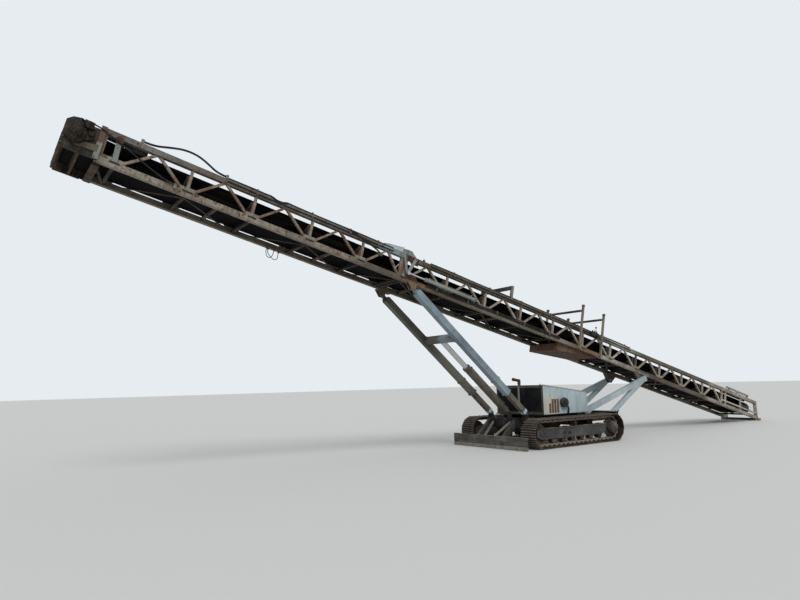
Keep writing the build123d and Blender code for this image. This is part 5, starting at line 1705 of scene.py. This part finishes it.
@dataclass
class HeldLines:
    """Hydraulic lines clamped along the boom, and their valve box."""

    main_clamps: Sequence[float] = (8.35, 7.45, 6.3, 5.2, 4.1, 3.0, 1.9, .9)
    head_clamps: Sequence[float] = (12.99, 12.38, 11.2, 10.3, 9.6)
    low_clamps: Sequence[float] = (7.9, 6.95, 6.0, 5.05, 4.1)
    bar_u: float = 11.928
    dip: Sequence[Point] = ((.30, HOSE_Y, HOSE_W), (.19, .572, .798), (.12, .5895, .775),
                            (.06, .5895, .752))
    down: Profile = ((10.30, .790), (10.06, .742), (9.82, .675), (9.62, .612), (9.52, .560))

    def _chord_route(self, k: int, start: float, end: float, y: float, w: float,
                     dips: bool) -> list[Vector]:
        """Route of one hose along a chord, slightly wavy.

        Args:
            k: which of the two hoses.
            start: where it starts.
            end: where it ends.
            y: how far out it lies.
            w: how high it lies.
            dips: whether it passes under the cross bar.

        Returns:
            Points in the row frame.
        """
        points = []
        steps = max(6, int(abs(start - end) / .55))
        for j in range(steps + 1):
            u = start + (end - start) * j / steps
            if not dips or abs(u - self.bar_u) >= .32:
                points.append((u, y + .004 * math.sin(j * 2.3 + k),
                               w + .005 * math.sin(j * 1.7 + 2 * k)))
        if dips:
            points += [(self.bar_u + way * du, a, b) for way in (1, -1) for du, a, b in self.dip]
            points.sort(reverse=True)
        return [boom(*point) for point in points]

    def _chord_lines(self) -> None:
        """Two hoses on the near top chord of each section, in clamps."""
        clamps = {"head_boom": Shape(), "main_boom": Shape()}
        for body, places, start, end in (("head_boom", self.head_clamps, 12.965, 9.2),
                                         ("main_boom", self.main_clamps, 8.15, .62)):
            shape = clamps[body]
            for k, (y, w, radius) in enumerate(((HOSE_Y, HOSE_W, .016), (.5865, .722, .0125))):
                route = self._chord_route(k, start, end, y, w, k == 0 and body == "head_boom")
                held_line(f"chord_line_{body[:4]}_{k}", route, radius, body, 2)
            for u in places:
                shape.box((u - .02, .515, .777), (u + .02, .585, .785), .001)
                shape.box((u - .02, .530, .780), (u + .02, .576, .822), .006)
                shape.box((u - .018, SIDE, .700), (u + .018, .602, .744), .006)
                shape.bolts([(u, HOSE_Y, .822)], UP, .008, .010)
        for body, shape in clamps.items():
            shape.on_boom(f"hose_clamps_{body[:4]}", Finish.BOLT, body)

    def _low_lines(self) -> None:
        """The bundle along the near bottom chord of the lower section, to the valve box."""
        shape = Shape()
        for k, w in enumerate((.292, .262, .236)):
            points = [boom(8.2 - j * .5, .592 + .003 * math.sin(j * 1.9 + k),
                           w + .006 * math.sin(j * 1.3 + k)) for j in range(10)]
            held_line(f"low_line_{k}", points, .0125, "main_boom", 2)
        for u in self.low_clamps:
            shape.box((u - .018, SIDE, .218), (u + .018, .611, .312), .006)
            shape.bolts([(u, .611, .265)], LEFT, .008, .010)
        shape.on_boom("low_clamps", Finish.BOLT, "main_boom")

    def _down_lines(self) -> None:
        """Two hoses from the near top chord down the last diagonal to a bulkhead by the fold."""
        for k, (du, dw) in enumerate(((0.0, 0.0), (-.035, -.03))):
            route = [boom(u + du, .592, w + dw) for u, w in self.down]
            held_line(f"down_line_{k}", route, .012, sides=2)
        shape = Shape().box((9.46, SIDE, .50), (9.53, .612, .565), .006)
        shape.bolts([(9.495, .612, .53)], LEFT, .010, .010)
        shape.on_boom("bulkhead_block", Finish.BOLT)

    def _valves(self) -> None:
        """Valve box with its lever on the near top chord."""
        shape, levers = Shape(), Shape()
        shape.box((2.22, .575, .66), (2.50, .665, .775), .006)
        shape.box((2.20, SIDE, .64), (2.52, .578, .79), .002)
        for u in (2.27, 2.355, 2.44):
            shape.lathe([(0, 0), (0, .022), (.03, .022), (.036, .016), (.05, .014), (.05, 0)],
                        (u, .62, .775), UP, 14)
            shape.rod((u, .62, .66), (u, .62, .632), .013, 6)
        levers.rod((2.33, .64, .80), (2.345, .645, .90), .008, 10)
        levers.lathe([(0, 0), (0, .012), (.012, .022), (.030, .022), (.044, .012), (.046, 0)],
                     (2.345, .645, .895), (.003, .001, .055), 16)
        shape.on_boom("valve_box", Finish.CHASSIS, "main_boom")
        levers.on_boom("valve_levers", Finish.PLASTIC, "main_boom")

    def _mast_lines(self) -> None:
        """A pair of hoses down the near mast's inner side."""
        foot, head = mast_ends()
        way = (head - foot).normalized()
        for k, y in enumerate((.512, .488)):
            points = [foot + way * (1.0 + .45 * j) + Vector((0, y + .004 * math.sin(j + k), 0))
                      for j in range(8)]
            held_line(f"mast_line_{k}", points, .010, "mast_upper", 2)

    def build(self) -> None:
        """Makes everything."""
        for make in (self._chord_lines, self._low_lines, self._down_lines, self._valves,
                     self._mast_lines):
            make()


@dataclass
class Masts:
    """Collars, pins, lock holes and lugs of the telescopic masts and the lift ram."""

    y: float = .6
    half: float = .075
    collar: float = .088
    head: Profile = ((.26, .07), (.15, .07), (.10, .03), (.10, -.03), (.15, -.07), (.26, -.07))

    def _upper(self, upper: Shape, side: int, length: float) -> None:
        """Collars, lock holes and head plates of one outer tube.

        Args:
            upper: what they are added to.
            side: 1 for the left, -1 for the right.
            length: from the masts' foot to their head.
        """
        y, half, out = side * self.y, self.half, self.collar
        for at in (.79, 1.25):
            for low, high in rim(y - out, -out, y + out, out, out - half):
                upper.box((at, *low), (at + .05, *high), .003)
        for k in range(6):
            upper.lathe([(0, .018), (0, .027), (.005, .027), (.006, .018)],
                        (1.7 + k * .32, y + side * .0745, 0), (0, side, 0), 16)
        for face in (y - .079, y + half):
            upper.plate([(length - d, w) for d, w in self.head], face, face + .004, .001)

    def build(self) -> None:
        """Makes the trim on both stages."""
        foot, head = mast_ends()
        way = (head - foot).normalized()
        frame = Matrix((way, Vector(LEFT), Vector((-way.z, 0, way.x)))).transposed().to_4x4()
        place = Matrix.Translation(foot) @ frame
        upper, lower, pins, stub = Shape(), Shape(), Shape(), Shape()
        for side in (-1, 1):
            y = side * self.y
            self._upper(upper, side, (head - foot).length)
            for out in (-1, 1):
                pins.cap((0, y + out * .044, 0), (0, out, 0), .034, .028, .012)
            stub.box((.045, y - .0645, -.0645), (.125, y + .0645, .0645), .004)
            for x in (.30, .46, .62):
                pins.rod((x, y + side * .0595, 0), (x, y + side * .061, 0), .016, 14)
        for y in (-.52, .52):
            upper.box((2.69, y - .006, -.085), (2.85, y + .006, .085), .003)
        lower.lathe([(1.70, .089), (1.70, .098), (1.762, .098), (1.766, .088), (1.766, .0625)],
                    (0, 0, 0), FRONT, 32)
        lower.ring((0, 0, 0), FRONT, .12, .17, .089, .097, 32)
        for at in (.26, 1.62):
            lower.port((at, 0, 0), UP, .088, .118, .130, .018, .024)
        lower.rod((.26, .02, .105), (1.62, .02, .105), .009, 10)
        upper.turned(place).piece("mast_collars", Finish.MAST, "mast_upper")
        stub.turned(place).piece("mast_foot_sleeves", Finish.BLUE_GREY, "mast_lower")
        lower.turned(place).piece("mast_foot_trim", Finish.LIFT_RAM, "mast_lower")
        pins.turned(place).piece("mast_pins", Finish.BOLT, "mast_lower")


@dataclass
class FoldGear:
    """Hinge plates, arms, gland nuts, ports and pins of the fold."""

    knee: Point = (8.75976, 0, .35245)
    foot: Point = (6.796, 0, .344)
    ports: Sequence[float] = (.12, 1.38)
    rib: Profile = ((8.93, .79), (9.44, .79), (9.38, .832), (8.95, .898))
    gussets: Sequence[Profile] = (
        ((8.43, .24), (8.70, .24), (8.80, .30), (8.80, .44), (8.55, .40)),
        ((8.50, .60), (8.70, .60), (8.80, .70), (8.80, .775), (8.50, .775)))

    def _ram(self, barrels: Shape, start: Vector, way: Vector) -> None:
        """Gland nut, collar, ports and feed pipe of one ram.

        Args:
            barrels: what they are added to.
            start: the ram's foot.
            way: its direction.
        """
        barrels.lathe([(1.43, .0385), (1.43, .046), (1.50, .046), (1.506, .040), (1.508, .0205)],
                      start, way, 26)
        barrels.ring(start, way, .03, .08, .0385, .044, 26)
        for at in self.ports:
            barrels.port(start + way * at, UP, .035, .062, .072, .014, .018)
        barrels.rod(*(start + way * at + Vector((0, 0, .055)) for at in self.ports), .007, 8)

    def build(self) -> None:
        """Makes the trim on each moving piece."""
        barrels, pins, arm, rust = Shape(), Shape(), Shape(), Shape()
        foot = Vector(self.foot)
        way = (Vector(self.knee) - foot).normalized()
        for side in (-1, 1):
            y, chord = side * RAM_Y, side * CHORD_Y
            self._ram(barrels, foot + Vector((0, y, 0)), way)
            pins.cap(foot + Vector((0, y + side * .030, 0)), (0, side, 0), .028, .020, .014)
            pins.cap((HINGE[0], side * .4775, HINGE[1]), (0, -side, 0), .040, .030, .014, 20)
            arm.bar((8.92, chord, .905), (9.36, chord, .845), .075, .010, .002)
            for dy in (-.034, .028):
                arm.plate(self.rib, chord + dy, chord + dy + .006, .001)
            for outline in self.gussets:
                rust.plate(outline, *sorted((side * SIDE, side * (SIDE + .006))), .002)
        barrels.on_boom("fold_ram_trim", Finish.BARREL, "fold_barrel")
        pins.on_boom("fold_pins", Finish.BOLT, "main_boom")
        arm.on_boom("hinge_arm_ribs", Finish.BLUE_GREY)
        rust.on_boom("fold_gussets", Finish.RUSTY, "main_boom")


@dataclass
class ChassisTrim:
    """Bolts and edges of the chassis, struts and front plate."""

    front: float = TRACK_X + 1.955
    edge: float = 1.268
    deck: float = .758
    strut_y: float = CHORD_Y + .083
    pin_y: float = CHORD_Y + .128

    def build(self) -> None:
        """Makes the trim."""
        bolts, plate, struts, front = Shape(), Shape(), Shape(), self.front
        bolts.bolts([(front, -1.2 + k * .24, .05) for k in range(11)], FRONT, .013, .010)
        plate.box((front, -self.edge, .010), (front + .010, self.edge, .085), .003)
        back = front - .03
        # top edge bar: its lighter steel is a painted highlight along the front plate's top edge
        plate.bar((back, -self.edge - .005, .296), (back, self.edge + .005, .296), .05, .008, .002)
        for y in (-1.0, -.62, .62, 1.0):
            plate.plate([(front - .012, .02), (front - .012, .285), (front - .055, .285),
                         (front - .075, .03)], y - .006, y + .006, .001)
        for side in (-1, 1):
            plate.bar((TRACK_X + 1.44, side * .30, .62), (back, side * .16, .27), .045, .045, .004)
            for x in (-1.00, -.92, -2.35, -2.20):
                bolts.bolts([(TRACK_X + x, side * (self.strut_y + dy), .72)
                             for dy in (-.062, .062)], UP, .013, .014)
            struts.lathe([(0, 0), (0, .050), (.010, .050), (.015, .040), (.022, .036), (.022, 0)],
                         (PIVOT[0], side * self.pin_y, PIVOT[1]), (0, side, 0), 22)
        bolts.bolts([(TRACK_X + x, y, self.deck) for x in (-.8, -.4, 0, .4, .75)
                     for y in (-.79, .79)], UP, .011, .010)
        plate.piece("front_plate_trim", Finish.BLADE_EDGE)
        bolts.piece("chassis_bolts", Finish.BOLT)
        struts.piece("strut_caps", Finish.BLUE_GREY)


def main() -> None:
    """Builds the dressed machine."""
    logging.basicConfig(level=logging.INFO, format="%(name)s: %(message)s")
    random.seed(7)
    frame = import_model()
    Studio().build()
    FreeLines().build()
    dress_frame(frame["nodes"])
    for assembly in (CarryingSets, Crawler, PowerPack, HeadEnd, TailEnd, Lattice, HeldLines, Masts,
                     FoldGear, ChassisTrim):
        assembly().build()


if __name__ == "__main__":
    main()
